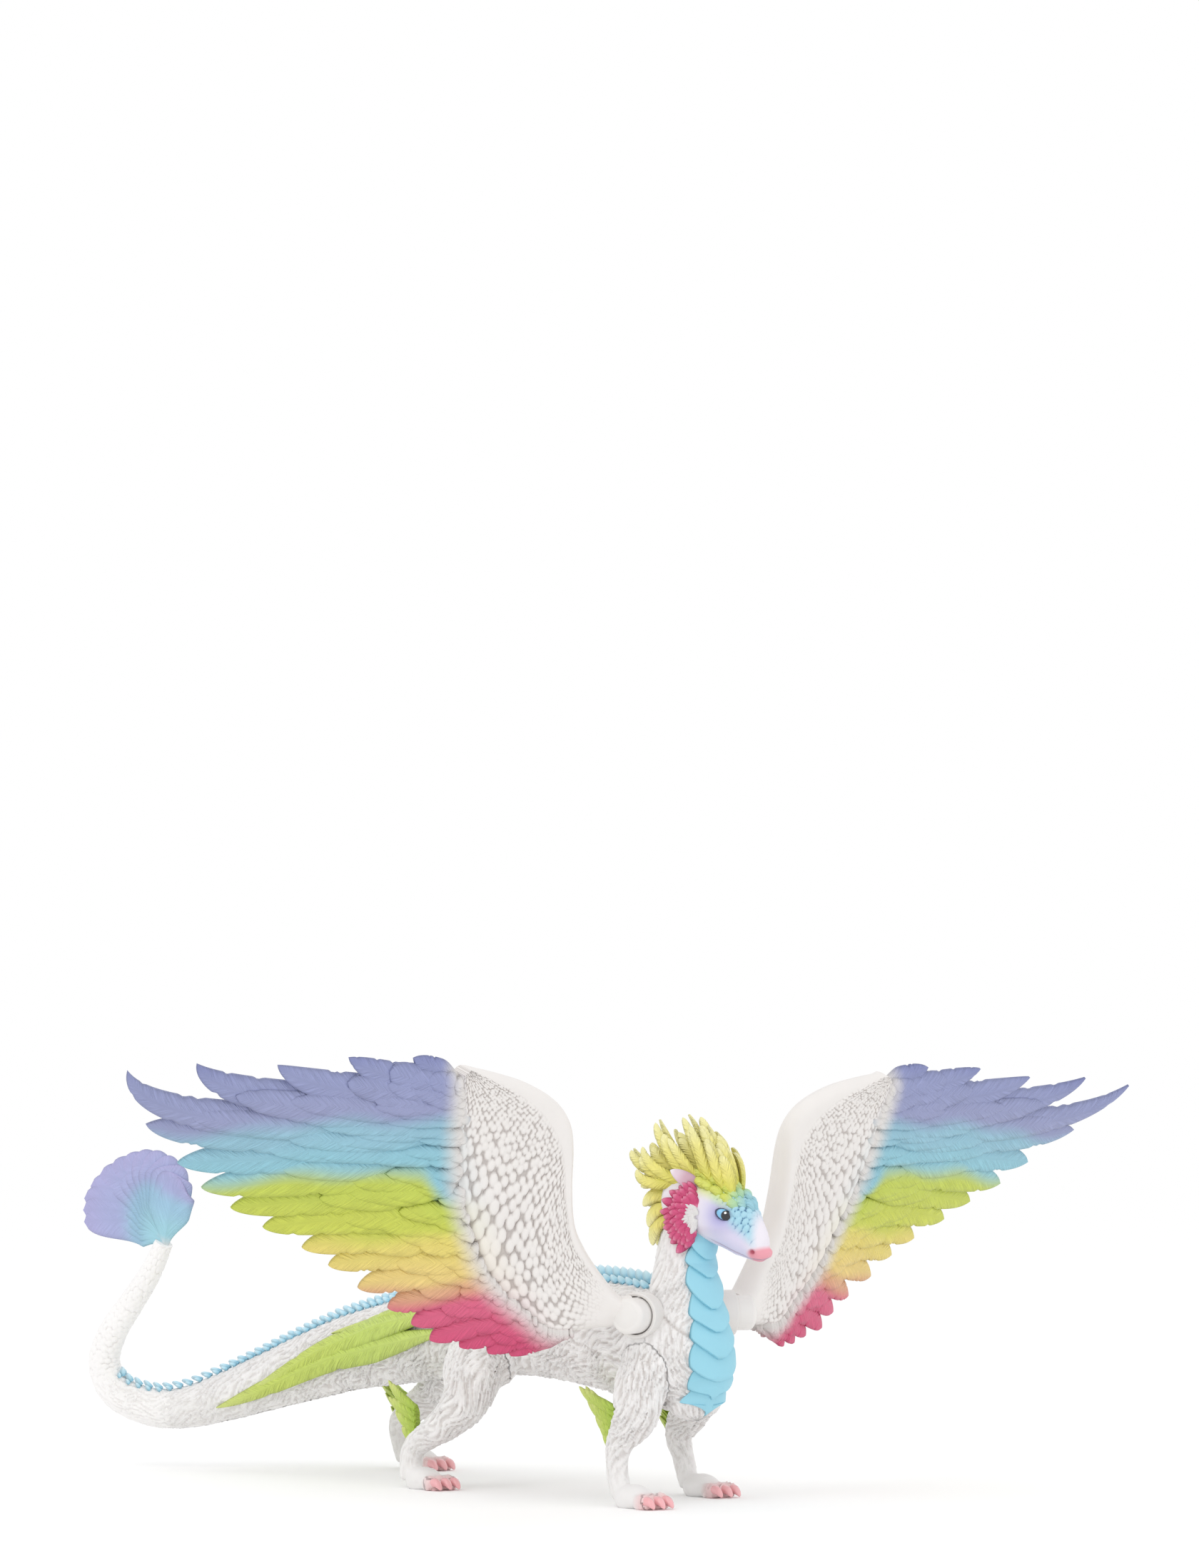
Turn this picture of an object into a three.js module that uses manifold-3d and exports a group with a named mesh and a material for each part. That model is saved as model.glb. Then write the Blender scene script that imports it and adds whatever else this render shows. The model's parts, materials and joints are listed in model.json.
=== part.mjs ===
// A moulded, hand-painted plastic toy figure: a standing, furry dragon with two feathered wings.
// Units are millimetres. +X is the way the chest faces, +Y is the figure's left, +Z is up.
// The origin is the centre of the underside of the figure's bounding box, on the surface it stands on.

import * as THREE from 'three';
import { mergeVertices } from 'three/addons/utils/BufferGeometryUtils.js';
import Module from 'manifold-3d';

const wasm = await Module();
wasm.setup();

// ---------------------------------------------------------------- driving dimensions

const GAP = 0.3;                 // space left between two pieces that are glued or sit together
const WING_REACH = 150;          // from the middle of the body to the outermost feather tip
const WING_RISE = 58;            // from the shoulder axis up to the highest feather tip
const TRUNK_GIRTH = 1;           // girth of the trunk and neck against the patterns below
const TAIL_GIRTH = 1;            // girth of the tail against its pattern
const HEAD_TURN = 22;            // degrees that the head looks to its left
const NECK_AXIS_X = 0;           // the head turns about this upright line

const SHOULDER = { x: 0, y: 14, z: 43.4 };   // centre of each collar's outer face
const AXIS_TOE_IN = 23;          // degrees that each wing axis points forward of straight sideways
const HUB_RADIUS = 4.1;          // the drum that turns inside the collar
const COLLAR_WALL = 0.9;
const COLLAR_DEPTH = 3.4;        // length of the collar ring along the wing axis
const COLLAR_PROUD = 0.8;        // how far the ring stands out past the shoulder point
const HUB_REACH = 5.6;           // how far the drum stands out past the shoulder point
const HUB_DEPTH = 2.2;           // how far the drum goes into the collar
const PEG_RADIUS = 1.9;          // the pin on the drum's inner end
const PEG_DEPTH = 8.6;           // how far the pin goes in behind the shoulder point
const BEAD_LIP = 0.6;            // how far the pin's snap head stands out all round, behind its bush
const BEAD_LENGTH = 1.5;
const BUSH_WALL = 1.4;

const ARM_ROOT_THICKNESS = 7.4;  // the wing's moulded arm at the shoulder
const ARM_TIP_THICKNESS = 4.2;   // and at the top corner of the wing
const FEATHER_THICKNESS = 2.4;   // the feather fan where it leaves the arm
const FEATHER_TIP_THICKNESS = 1.1;
const NOTCH_DEPTH = 0.055;       // cut between two feather tips, as part of the fan's width
const WING_DISH = 0.0065;        // how fast the wing sweeps back, per millimetre out and down

const RIDGE_WIDTH = 2.6;
const RIDGE_HEIGHT = 2.4;
const PLATE_WIDTH = 5.2;
const PLATE_HEIGHT = 1.9;
const TUFT_THICKNESS = 2.4;
const FRILL_THICKNESS = 1.8;

// Stations are rows of x, y, z, half width, half height along a limb's middle line.

const SPINE = [
  [11, 0, 31, 3.5, 4.5],
  [8, 0, 31.5, 8, 9],
  [0, 0, 33, 11.5, 12.3],
  [-12, 0, 36, 12.5, 13.8],
  [-30, 0, 38.3, 12, 13],
  [-55, 0, 39, 11.5, 11.8],
  [-82, 0, 37.4, 12, 11.3],
  [-100, -1, 35, 11, 10.8],
  [-112, -2, 33, 10, 10.3],
  [-125, -5, 30.5, 9.2, 9.4],
  [-138, -9, 26.5, 8.2, 8.4],
  [-149, -14, 22.5, 7.2, 7.2],
  [-159, -20, 18.6, 6.2, 6.2],
  [-166, -27, 15.8, 5.3, 5.3],
  [-172, -34, 15.6, 4.7, 4.7],
  [-178, -41, 19.5, 4.3, 4.3],
  [-180, -44, 27, 3.9, 3.9],
  [-176, -44, 35, 3.5, 3.5],
  [-169, -43, 42.5, 3.1, 3.1],
  [-162, -42, 50, 2.7, 2.7],
  [-157, -41, 58, 2.2, 2.2],
];
const RUMP_STATION = 7.5;        // place along the spine where the tail is plugged on
const RIDGE_END_STATION = 16;

const NECK = [
  [4, 0, 23, 6, 6],
  [2.8, 0, 27, 9, 9],
  [1.5, 0, 34, 11, 10.4],
  [0.6, 0, 41, 10.3, 9.8],
  [0.3, 0, 48, 8.3, 8.3],
  [-0.3, 0.4, 55, 6.6, 6.8],
  [0.4, 0.8, 61, 6, 6.3],
  [1.5, 1, 66, 4.6, 5],
];
const SEAM_POINT = [5, 0, 42];   // the glued seam between the neck moulding and the trunk
const SEAM_NORMAL = [0.61, 0, 0.79];

const HEAD = [
  [-5, 0, 70.6, 1.6, 2],
  [-3, 0, 70.3, 4.4, 5],
  [2, 0, 69.5, 6.2, 7],
  [8, 0, 68, 6.4, 7.2],
  [13, 0, 65.3, 5.2, 5.8],
  [17.5, 0, 61.6, 3.5, 3.8],
  [21, 0, 59, 2.6, 2.5],
  [23, 0, 58, 1.2, 1.2],
];

const LEG_PATTERNS = {
  fore_leg_right: {
    stations: [
      [-2, -8.5, 34, 5, 7],
      [-1, -12, 27, 5.5, 7],
      [0, -14.5, 20.5, 4.8, 5.6],
      [-4, -15.7, 14.5, 2.9, 3.3],
      [-4.8, -16, 9.5, 2.4, 2.6],
      [-4, -16, 5, 2.4, 2.6],
      [-3, -16, 2, 2.2, 2.6],
    ],
    paw: [2, -16],
  },
  fore_leg_left: {
    stations: [
      [-4, 9, 34, 5, 7],
      [-9, 12.5, 27, 5.5, 6.5],
      [-17, 16, 20, 4.5, 5],
      [-23, 17.5, 14.3, 3, 3.5],
      [-22, 18, 9, 2.4, 2.7],
      [-20.5, 18, 4.5, 2.4, 2.6],
      [-19.5, 18, 2, 2.2, 2.6],
    ],
    paw: [-14.5, 18],
  },
  hind_leg_right: {
    stations: [
      [-66, -8, 36, 6, 10],
      [-64, -12, 29, 7, 9.5],
      [-62, -16, 22.5, 5.5, 6.5],
      [-66, -18, 17, 4, 4.6],
      [-73, -19, 13, 3.2, 3.4],
      [-79, -19.3, 9.5, 2.7, 3],
      [-80, -19.5, 5, 2.7, 3],
      [-79.5, -19.5, 2, 2.6, 3],
    ],
    paw: [-74, -19.5],
  },
  hind_leg_left: {
    stations: [
      [-90, 7, 34, 6, 8.5],
      [-100, 12, 28, 6, 7.5],
      [-114, 15, 21.5, 4.6, 5.2],
      [-127, 16.5, 16, 3.4, 3.8],
      [-135, 17.3, 11.5, 2.8, 3],
      [-135, 18, 6, 2.6, 2.8],
      [-133.5, 18.3, 2, 2.4, 2.8],
    ],
    paw: [-127, 18.5],
  },
};
const PAW = { length: 7.2, width: 4.5, height: 3.6, middle: 1.4 };
const TOE = { length: 2.6, width: 1.5, height: 1.7, reach: 6.2, pitch: 2.7, lift: 1 };

// Each tuft is a feathery fin: root point on the leg, length, height at the root, lean in degrees.
const TUFT_PATTERNS = {
  elbow_tuft_right: { root: [-6.5, -15.6, 16.5], length: 16, height: 9, lean: 20, leg: 'fore_leg_right' },
  elbow_tuft_left: { root: [-26, 17.2, 17.5], length: 11, height: 7, lean: 20, leg: 'fore_leg_left' },
  hock_tuft_right: { root: [-79, -19.2, 13.5], length: 15, height: 8.5, lean: 20, leg: 'hind_leg_right' },
  hock_tuft_left: { root: [-134, 17.2, 14], length: 15, height: 7.5, lean: 20, leg: 'hind_leg_left' },
};

// Feather tips of one wing, as distance out from the middle of the body and height above the ground,
// from the innermost lower feather round the wing's point to the innermost upper one.
const FEATHER_TIPS = [
  [41, 34.5],
  [46, 35.2],
  [52.2, 36.6],
  [59, 38.4],
  [63.6, 42],
  [69.5, 45.7],
  [77.3, 50.5],
  [85, 55.4],
  [92.3, 59.6],
  [102.7, 64.2],
  [111.5, 68.4],
  [120.3, 73.1],
  [128, 78.3],
  [139.4, 86.5],
  [150, 97.8],
  [133.3, 99.2],
  [113, 99.4],
  [95, 101.2],
  [77.5, 101.3],
];
const FAN_TOP_CORNER = [65, 99.4];
const LEADING_EDGE = [
  [18.2, 48.2],
  [22.5, 53],
  [26.9, 59],
  [29.9, 65],
  [31.2, 73.4],
  [31.6, 81.9],
  [32.6, 87],
  [35.3, 90.9],
  [39.6, 93.9],
  [46.2, 96.6],
  [53.7, 98.2],
  [62.4, 99.4],
];
// The line where the scaled arm ends and the coloured feathers begin, preceded by the arm's lower edge.
const ARM_LOWER_EDGE = [
  [18.2, 42],
  [23.3, 41.8],
  [28.4, 41],
];
const ARM_BORDER = [
  [34, 40.6],
  [40, 46],
  [46, 50.8],
  [50, 56],
  [53.5, 62],
  [57, 69],
  [60, 77],
  [61.5, 84],
  [62.4, 91],
  [63.6, 99.2],
];

const COLOURS = {
  fur: 0xedeae8,
  face: 0xe4ddf0,
  crest: 0xf0e268,
  frill: 0xdd4f85,
  sky: 0x8ccbe6,
  green: 0xc4d850,
  fan: 0xa9a4d8,
  feathers: 0xb9d8c8,
  joint: 0xe4e1de,
};
const ROUGHNESS = 0.55;
const HIDDEN_ROUGHNESS = 0.4;

// ---------------------------------------------------------------- shape helpers

const SIDEWAYS = new THREE.Vector3(0, 1, 0);
const TAIL_SIDE = new THREE.Vector3(0.35, -0.94, 0).normalize();
const UPRIGHT = new THREE.Vector3(0, 0, 1);

const vector = (row) => new THREE.Vector3(row[0], row[1], row[2]);
const mix = (a, b, t) => a + (b - a) * t;

// A value from one column of a station list, read at a station number that need not be whole.
function columnAt(stations, column, station) {
  const low = Math.min(Math.floor(station), stations.length - 2);
  const eased = THREE.MathUtils.smoothstep(station - low, 0, 1);
  return mix(stations[low][column], stations[low + 1][column], (eased + station - low) / 2);
}

// The middle line and the two cross directions of a limb at a station number.
function frameAt(stations, station, sideHint) {
  const curve = new THREE.CatmullRomCurve3(stations.map(vector));
  const t = station / (stations.length - 1);
  const forward = curve.getTangent(t);
  const side = sideHint.clone().addScaledVector(forward, -sideHint.dot(forward)).normalize();
  const rise = new THREE.Vector3().crossVectors(forward, side);
  return { centre: curve.getPoint(t), forward, side, rise };
}

// A closed, tapering limb with flat ends, carried along its stations. swell fattens it on every side.
function limb(stations, options = {}) {
  const { sides = 12, steps = 12, from = 0, to = stations.length - 1 } = options;
  const { sideHint = SIDEWAYS, swell = 0, girth = 1 } = options;
  const geometry = new THREE.CylinderGeometry(1, 1, 1, sides, steps);
  const position = geometry.attributes.position;
  for (let i = 0; i < position.count; i += 1) {
    const along = 0.5 - position.getY(i);
    const station = mix(from, to, along);
    const { centre, forward, side, rise } = frameAt(stations, station, sideHint);
    const endPush = along > 0.999 ? swell : along < 0.001 ? -swell : 0;
    centre.addScaledVector(forward, endPush);
    centre.addScaledVector(side, position.getX(i) * (columnAt(stations, 3, station) * girth + swell));
    centre.addScaledVector(rise, position.getZ(i) * (columnAt(stations, 4, station) * girth + swell));
    position.setXYZ(i, centre.x, centre.y, centre.z);
  }
  return geometry;
}

// Six times the volume a closed mesh holds, negative when its faces point inwards.
function signedVolume(geometry) {
  const position = geometry.attributes.position;
  const index = geometry.index;
  const corner = [new THREE.Vector3(), new THREE.Vector3(), new THREE.Vector3()];
  let sum = 0;
  for (let i = 0; i < index.count; i += 3) {
    corner.forEach((point, k) => point.fromBufferAttribute(position, index.getX(i + k)));
    sum += corner[0].dot(corner[1].cross(corner[2]));
  }
  return sum;
}

// Shared corners merged, and faces turned to point out.
function welded(geometry) {
  const bare = geometry.clone();
  bare.deleteAttribute('normal');
  bare.deleteAttribute('uv');
  const merged = mergeVertices(bare);
  if (signedVolume(merged) < 0) {
    const index = merged.index;
    for (let i = 0; i < index.count; i += 3) {
      const swapped = index.getX(i + 1);
      index.setX(i + 1, index.getX(i + 2));
      index.setX(i + 2, swapped);
    }
  }
  return merged;
}

function solidOf(geometry) {
  const merged = welded(geometry);
  return new wasm.Manifold(new wasm.Mesh({
    numProp: 3,
    vertProperties: Float32Array.from(merged.attributes.position.array),
    triVerts: Uint32Array.from(merged.index.array),
  }));
}

function geometryOf(solid) {
  const mesh = solid.getMesh();
  const geometry = new THREE.BufferGeometry();
  geometry.setAttribute('position', new THREE.BufferAttribute(mesh.vertProperties, 3));
  geometry.setIndex(new THREE.BufferAttribute(mesh.triVerts, 1));
  return geometry;
}

const joined = (solids) => solids.reduce((all, next) => all.add(next));
const without = (solid, cutters) => cutters.reduce((rest, cutter) => rest.subtract(cutter), solid);

// A turned piece: profile rows are radius and distance along the axis, and the axis starts at origin.
function turned(profile, origin, axis, sides = 20) {
  const geometry = new THREE.LatheGeometry(profile.map(([r, a]) => new THREE.Vector2(r, a)), sides);
  const turn = new THREE.Quaternion().setFromUnitVectors(SIDEWAYS, axis);
  return geometry.applyQuaternion(turn).translate(origin.x, origin.y, origin.z);
}

function rod(radius, start, end, origin, axis, sides = 20) {
  return turned([[0, start], [radius, start], [radius, end], [0, end]], origin, axis, sides);
}

function ellipsoid(centre, radii, columns = 12, rows = 8) {
  const ball = new THREE.SphereGeometry(1, columns, rows);
  return ball.scale(radii[0], radii[1], radii[2]).translate(centre[0], centre[1], centre[2]);
}

// A flat-sided slab whose outline is drawn in the X-Z plane, with its middle at y = 0.
function slab(shape, thickness) {
  const options = { depth: thickness, bevelEnabled: false, curveSegments: 5 };
  const geometry = new THREE.ExtrudeGeometry(shape, options);
  return geometry.rotateX(Math.PI / 2).translate(0, thickness / 2, 0);
}

function addPiece(group, name, geometry, colour, roughness = ROUGHNESS) {
  const finish = { color: colour, roughness, metalness: 0, flatShading: true };
  const material = new THREE.MeshStandardMaterial(finish);
  const mesh = new THREE.Mesh(geometry, material);
  mesh.name = name;
  group.add(mesh);
}

// ---------------------------------------------------------------- trunk, neck and tail

function trunkBody(swell) {
  const run = { from: 0, to: RUMP_STATION, sides: 14, steps: 13 };
  return solidOf(limb(SPINE, { ...run, swell, girth: TRUNK_GIRTH, sideHint: TAIL_SIDE }));
}

function neckBody(swell) {
  return solidOf(limb(NECK, { sides: 12, steps: 10, swell, girth: TRUNK_GIRTH }));
}

function tailBody(swell) {
  const run = { from: RUMP_STATION, sides: 10, steps: 24 };
  return solidOf(limb(SPINE, { ...run, swell, girth: TAIL_GIRTH, sideHint: TAIL_SIDE }));
}

// Everything on the neck's side of the seam, moved by shift along the seam's normal.
function seamSide(shift) {
  const size = 300;
  const normal = vector(SEAM_NORMAL).normalize();
  const turn = new THREE.Quaternion().setFromUnitVectors(UPRIGHT, normal);
  const block = new THREE.BoxGeometry(size, size, size).translate(0, 0, size / 2).applyQuaternion(turn);
  const corner = vector(SEAM_POINT).addScaledVector(normal, shift);
  return solidOf(block.translate(corner.x, corner.y, corner.z));
}

// ---------------------------------------------------------------- wing joint

function wingAxis(side) {
  const toe = THREE.MathUtils.degToRad(AXIS_TOE_IN);
  return new THREE.Vector3(Math.sin(toe), side * Math.cos(toe), 0);
}

const shoulderPoint = (side) => new THREE.Vector3(SHOULDER.x, side * SHOULDER.y, SHOULDER.z);

const COLLAR_BORE = HUB_RADIUS + GAP;
const COLLAR_RADIUS = COLLAR_BORE + COLLAR_WALL;
const BEAD_RADIUS = PEG_RADIUS + BEAD_LIP;
const BUSH_BORE = PEG_RADIUS + GAP;
const BUSH_RADIUS = BUSH_BORE + BUSH_WALL;

function collar(side) {
  const bore = COLLAR_BORE;
  const back = COLLAR_PROUD - COLLAR_DEPTH;
  const lip = 0.5;
  const profile = [
    [bore, back],
    [COLLAR_RADIUS, back],
    [COLLAR_RADIUS, COLLAR_PROUD - lip],
    [COLLAR_RADIUS - lip, COLLAR_PROUD],
    [bore, COLLAR_PROUD],
    [bore, back],
  ];
  return turned(profile, shoulderPoint(side), wingAxis(side));
}

function hub(side, swell = 0) {
  const shoulderOfPeg = -HUB_DEPTH;
  const beadStart = -PEG_DEPTH;
  const dome = 1;
  const profile = [
    [0, beadStart - swell],
    [PEG_RADIUS + swell, beadStart - swell],
    [BEAD_RADIUS + swell, beadStart + BEAD_LENGTH / 2],
    [PEG_RADIUS + swell, beadStart + BEAD_LENGTH],
    [PEG_RADIUS + swell, shoulderOfPeg - swell],
    [HUB_RADIUS + swell, shoulderOfPeg - swell],
    [HUB_RADIUS + swell, HUB_REACH - dome],
    [HUB_RADIUS - dome + swell, HUB_REACH + swell],
    [0, HUB_REACH + swell],
  ];
  return turned(profile, shoulderPoint(side), wingAxis(side));
}

const BUSH_FRONT = COLLAR_PROUD - COLLAR_DEPTH - 2 * GAP;
const BUSH_BACK = -PEG_DEPTH + BEAD_LENGTH + GAP;

function bush(side) {
  const bore = BUSH_BORE;
  const profile = [
    [bore, BUSH_BACK],
    [BUSH_RADIUS, BUSH_BACK],
    [BUSH_RADIUS, BUSH_FRONT],
    [bore, BUSH_FRONT],
    [bore, BUSH_BACK],
  ];
  return turned(profile, shoulderPoint(side), wingAxis(side));
}

// The stepped recess in the body that takes the collar, the bush and the pin's snap head.
function socket(side) {
  const origin = shoulderPoint(side);
  const axis = wingAxis(side);
  const mouth = 20;
  const collarSeat = rod(COLLAR_RADIUS + GAP, BUSH_FRONT, mouth, origin, axis);
  const bore = rod(Math.max(BUSH_RADIUS, BEAD_RADIUS) + GAP, -PEG_DEPTH - 2 * GAP, 0, origin, axis);
  return joined([solidOf(collarSeat), solidOf(bore)]);
}

// ---------------------------------------------------------------- wings

const PATTERN_REACH = 150;
const PATTERN_RISE = 58;

// A wing pattern point, out and up, made to the wing's own reach and rise about the shoulder.
function wingPoint([out, up]) {
  const reach = (WING_REACH - SHOULDER.y) / (PATTERN_REACH - SHOULDER.y);
  const rise = WING_RISE / PATTERN_RISE;
  return new THREE.Vector2(SHOULDER.y + (out - SHOULDER.y) * reach, SHOULDER.z + (up - SHOULDER.z) * rise);
}

const wingTop = () => SHOULDER.z + WING_RISE + 0.6;

function sweepBack(out, up) {
  return SHOULDER.x + 0.5 - WING_DISH * (out - SHOULDER.y + 2) * (wingTop() - up);
}

// A point on a polyline, read at 0..1 with equal shares for its spans, rounded when smooth is set.
function lineReader(points, smooth) {
  if (smooth) {
    const curve = new THREE.SplineCurve(points);
    return (t) => curve.getPoint(t);
  }
  return (t) => {
    const place = t * (points.length - 1);
    const low = Math.min(Math.floor(place + 1e-6), points.length - 2);
    return points[low].clone().lerp(points[low + 1], place - low);
  };
}

// A curved plate between two edge lines. thickness(u, v) is its thickness along X.
function wingPlate(side, innerLine, outerLine, columns, rows, thickness, crowd = 1) {
  const geometry = new THREE.BoxGeometry(1, 1, 1, columns, rows, 1);
  const position = geometry.attributes.position;
  for (let i = 0; i < position.count; i += 1) {
    const u = position.getX(i) + 0.5;
    const v = (position.getY(i) + 0.5) ** crowd;
    const place = innerLine(u).lerp(outerLine(u), v);
    const x = sweepBack(place.x, place.y) + position.getZ(i) * thickness(u, v);
    position.setXYZ(i, x, side * place.x, place.y);
  }
  return geometry;
}

// The outer edge of the feather fan: every tip, with a notch between each two.
function fanEdge() {
  const tips = FEATHER_TIPS.map(wingPoint);
  const border = lineReader(ARM_BORDER.map(wingPoint), true);
  const edge = [tips[0]];
  for (let i = 1; i < tips.length; i += 1) {
    const notch = tips[i - 1].clone().lerp(tips[i], 0.5);
    const root = border((i - 0.5) / tips.length);
    edge.push(notch.lerp(root, NOTCH_DEPTH), tips[i]);
  }
  edge.push(wingPoint(FAN_TOP_CORNER));
  return edge;
}

function wingFeathers(side) {
  const edge = fanEdge();
  const border = lineReader(ARM_BORDER.map(wingPoint), true);
  const thickness = (u, v) => mix(FEATHER_THICKNESS, FEATHER_TIP_THICKNESS, v);
  return wingPlate(side, border, lineReader(edge, false), edge.length - 1, 3, thickness);
}

// The scaled arm: thick and round along its leading edge, thin where the feathers begin.
function wingArm(side) {
  const leading = lineReader(LEADING_EDGE.map(wingPoint), true);
  const border = lineReader([...ARM_LOWER_EDGE, ...ARM_BORDER].map(wingPoint), true);
  const rear = (u) => {
    const edge = border(u);
    const inward = leading(u).sub(edge).normalize();
    return edge.addScaledVector(inward, GAP * 1.5);
  };
  const roundShare = 0.16;
  const thickness = (u, v) => {
    const full = mix(ARM_ROOT_THICKNESS, ARM_TIP_THICKNESS, Math.min(1, u * 1.6));
    const lead = v < roundShare ? Math.sqrt(1 - (1 - v / roundShare) ** 2 * 0.96) : 1;
    return lead * mix(full, FEATHER_THICKNESS, THREE.MathUtils.smoothstep(v, roundShare, 1));
  };
  return wingPlate(side, leading, rear, 12, 6, thickness, 1.7);
}

function buildWing(group, side, hand) {
  const origin = shoulderPoint(side);
  const axis = wingAxis(side);
  const collarRoom = rod(COLLAR_RADIUS + 1, -10, COLLAR_PROUD + GAP, origin, axis);
  const arm = without(solidOf(wingArm(side)), [solidOf(collarRoom), solidOf(hub(side, GAP))]);
  addPiece(group, `wing_arm_${hand}`, geometryOf(arm), COLOURS.fur);
  addPiece(group, `wing_feathers_${hand}`, welded(wingFeathers(side)), COLOURS.feathers);
  addPiece(group, `wing_hub_${hand}`, welded(hub(side)), COLOURS.joint);
  addPiece(group, `shoulder_collar_${hand}`, welded(collar(side)), COLOURS.joint);
  addPiece(group, `socket_bush_${hand}`, welded(bush(side)), COLOURS.joint, HIDDEN_ROUGHNESS);
}

// ---------------------------------------------------------------- head

// Moves a piece drawn on a head that looks straight ahead to where the turned head has it.
function onHead(geometry) {
  const turn = THREE.MathUtils.degToRad(HEAD_TURN);
  return geometry.translate(-NECK_AXIS_X, 0, 0).rotateZ(turn).translate(NECK_AXIS_X, 0, 0);
}

function headBody(swell) {
  return solidOf(onHead(limb(HEAD, { sides: 12, steps: 10, swell })));
}

// Feathers of the crest, each from its root over a bend to its tip, on a head that looks straight ahead.
const CROWN_FEATHERS = [
  { from: [8, 0, 77], bend: [6.5, 0, 84], tip: [2, 0, 90], width: 2.6 },
  { from: [6, 2.5, 77], bend: [2, 3.5, 83.5], tip: [-4, 4.5, 88.5], width: 2.8 },
  { from: [6, -2.5, 77], bend: [2, -3.5, 82.5], tip: [-5, -4.5, 86], width: 2.8 },
  { from: [3, 0, 76.5], bend: [-4, 0, 81], tip: [-11, 0, 83.5], width: 2.8 },
  { from: [2, 3, 76], bend: [-4, 4, 78.5], tip: [-12, 5.5, 79.5], width: 2.6 },
  { from: [2, -3, 76], bend: [-4, -4, 78], tip: [-12, -5.5, 78.5], width: 2.6 },
];
const CROWN_BASE = { middle: [5, 0, 77], radii: [9, 5.6, 6] };
const NAPE_FEATHERS = [
  { from: [-2, 0, 70.5], bend: [-7.5, 0, 71], tip: [-13, 0, 70], width: 2.8 },
  { from: [-2, 0, 69.5], bend: [-7.5, 0, 68], tip: [-11.5, 0, 63.5], width: 2.8 },
  { from: [-2, 0, 68.5], bend: [-8, 0, 65], tip: [-10, 0, 57], width: 2.8 },
];

function feather({ from, bend, tip, width }, swell) {
  const stations = [
    [...from, width * 0.8, 1.3],
    [...bend, width, 1.2],
    [...tip, width * 0.3, 0.5],
  ];
  return solidOf(onHead(limb(stations, { sides: 6, steps: 4, swell })));
}

function crownSolid(swell) {
  const radii = CROWN_BASE.radii.map((radius) => radius + swell);
  const base = solidOf(onHead(ellipsoid(CROWN_BASE.middle, radii, 10, 6)));
  return joined([base, ...CROWN_FEATHERS.map((row) => feather(row, swell))]);
}

const napeSolid = () => joined(NAPE_FEATHERS.map((row) => feather(row, 0)));

// A scalloped fan behind the jaw, drawn in the X-Z plane about its front edge.
function frillShape() {
  const lobes = 5;
  const radius = 7.4;
  const scallop = 1.3;
  const start = THREE.MathUtils.degToRad(105);
  const span = THREE.MathUtils.degToRad(150);
  const shape = new THREE.Shape();
  shape.moveTo(0, 5.5);
  for (let i = 0; i <= lobes; i += 1) {
    const valley = start + (span * i) / lobes;
    shape.lineTo((radius - scallop) * Math.cos(valley), (radius - scallop) * Math.sin(valley));
    const peak = valley + span / lobes / 2;
    if (i < lobes) {
      shape.lineTo(radius * Math.cos(peak), radius * Math.sin(peak));
    }
  }
  shape.lineTo(0.5, -5.5);
  return shape;
}

function frill(side) {
  const lean = THREE.MathUtils.degToRad(24);
  const blade = slab(frillShape(), FRILL_THICKNESS).rotateZ(-side * lean);
  return onHead(blade.translate(3, side * 5.6, 65.4));
}

function ear(side, swell) {
  const stations = [
    [2.4, side * 4.6, 72.4, 1.5, 2],
    [0, side * 6.6, 74, 1.4, 2.2],
    [-3.6, side * 8.4, 75.4, 0.4, 0.7],
  ];
  return solidOf(onHead(limb(stations, { sides: 8, steps: 5, swell })));
}

function buildHead(group) {
  const head = headBody(0);
  const headRoom = headBody(GAP);
  const neckRoom = neckBody(GAP);
  const crown = without(crownSolid(0), [headRoom]);
  const crownRoom = crownSolid(GAP);
  const nape = without(napeSolid(), [headRoom, neckRoom, crownRoom]);
  addPiece(group, 'head', geometryOf(head), COLOURS.face);
  addPiece(group, 'crest_crown', geometryOf(crown), COLOURS.crest);
  addPiece(group, 'crest_nape', geometryOf(nape), COLOURS.crest);
  for (const [side, hand] of [[-1, 'right'], [1, 'left']]) {
    const earSolid = without(ear(side, 0), [headRoom, crownRoom]);
    const frillSolid = without(solidOf(frill(side)), [headRoom, neckRoom, crownRoom, ear(side, GAP)]);
    addPiece(group, `ear_${hand}`, geometryOf(earSolid), COLOURS.face);
    addPiece(group, `cheek_frill_${hand}`, geometryOf(frillSolid), COLOURS.frill);
  }
}

// ---------------------------------------------------------------- legs and tufts

function paw([x, y]) {
  const pad = ellipsoid([x, y, PAW.middle], [PAW.length, PAW.width, PAW.height], 10, 6);
  const toes = [-1, 0, 1].map((k) => {
    const middle = [x + TOE.reach - Math.abs(k), y + k * TOE.pitch, TOE.lift];
    return ellipsoid(middle, [TOE.length, TOE.width, TOE.height], 6, 4);
  });
  return joined([pad, ...toes].map(solidOf));
}

function belowGround() {
  const depth = 40;
  return solidOf(new THREE.BoxGeometry(400, 400, depth).translate(0, 0, -depth / 2));
}

function legSolid({ stations, paw: pawPlace }, swell) {
  const shank = solidOf(limb(stations, { sides: 8, steps: 8, swell }));
  return shank.add(paw(pawPlace)).subtract(belowGround());
}

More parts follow.
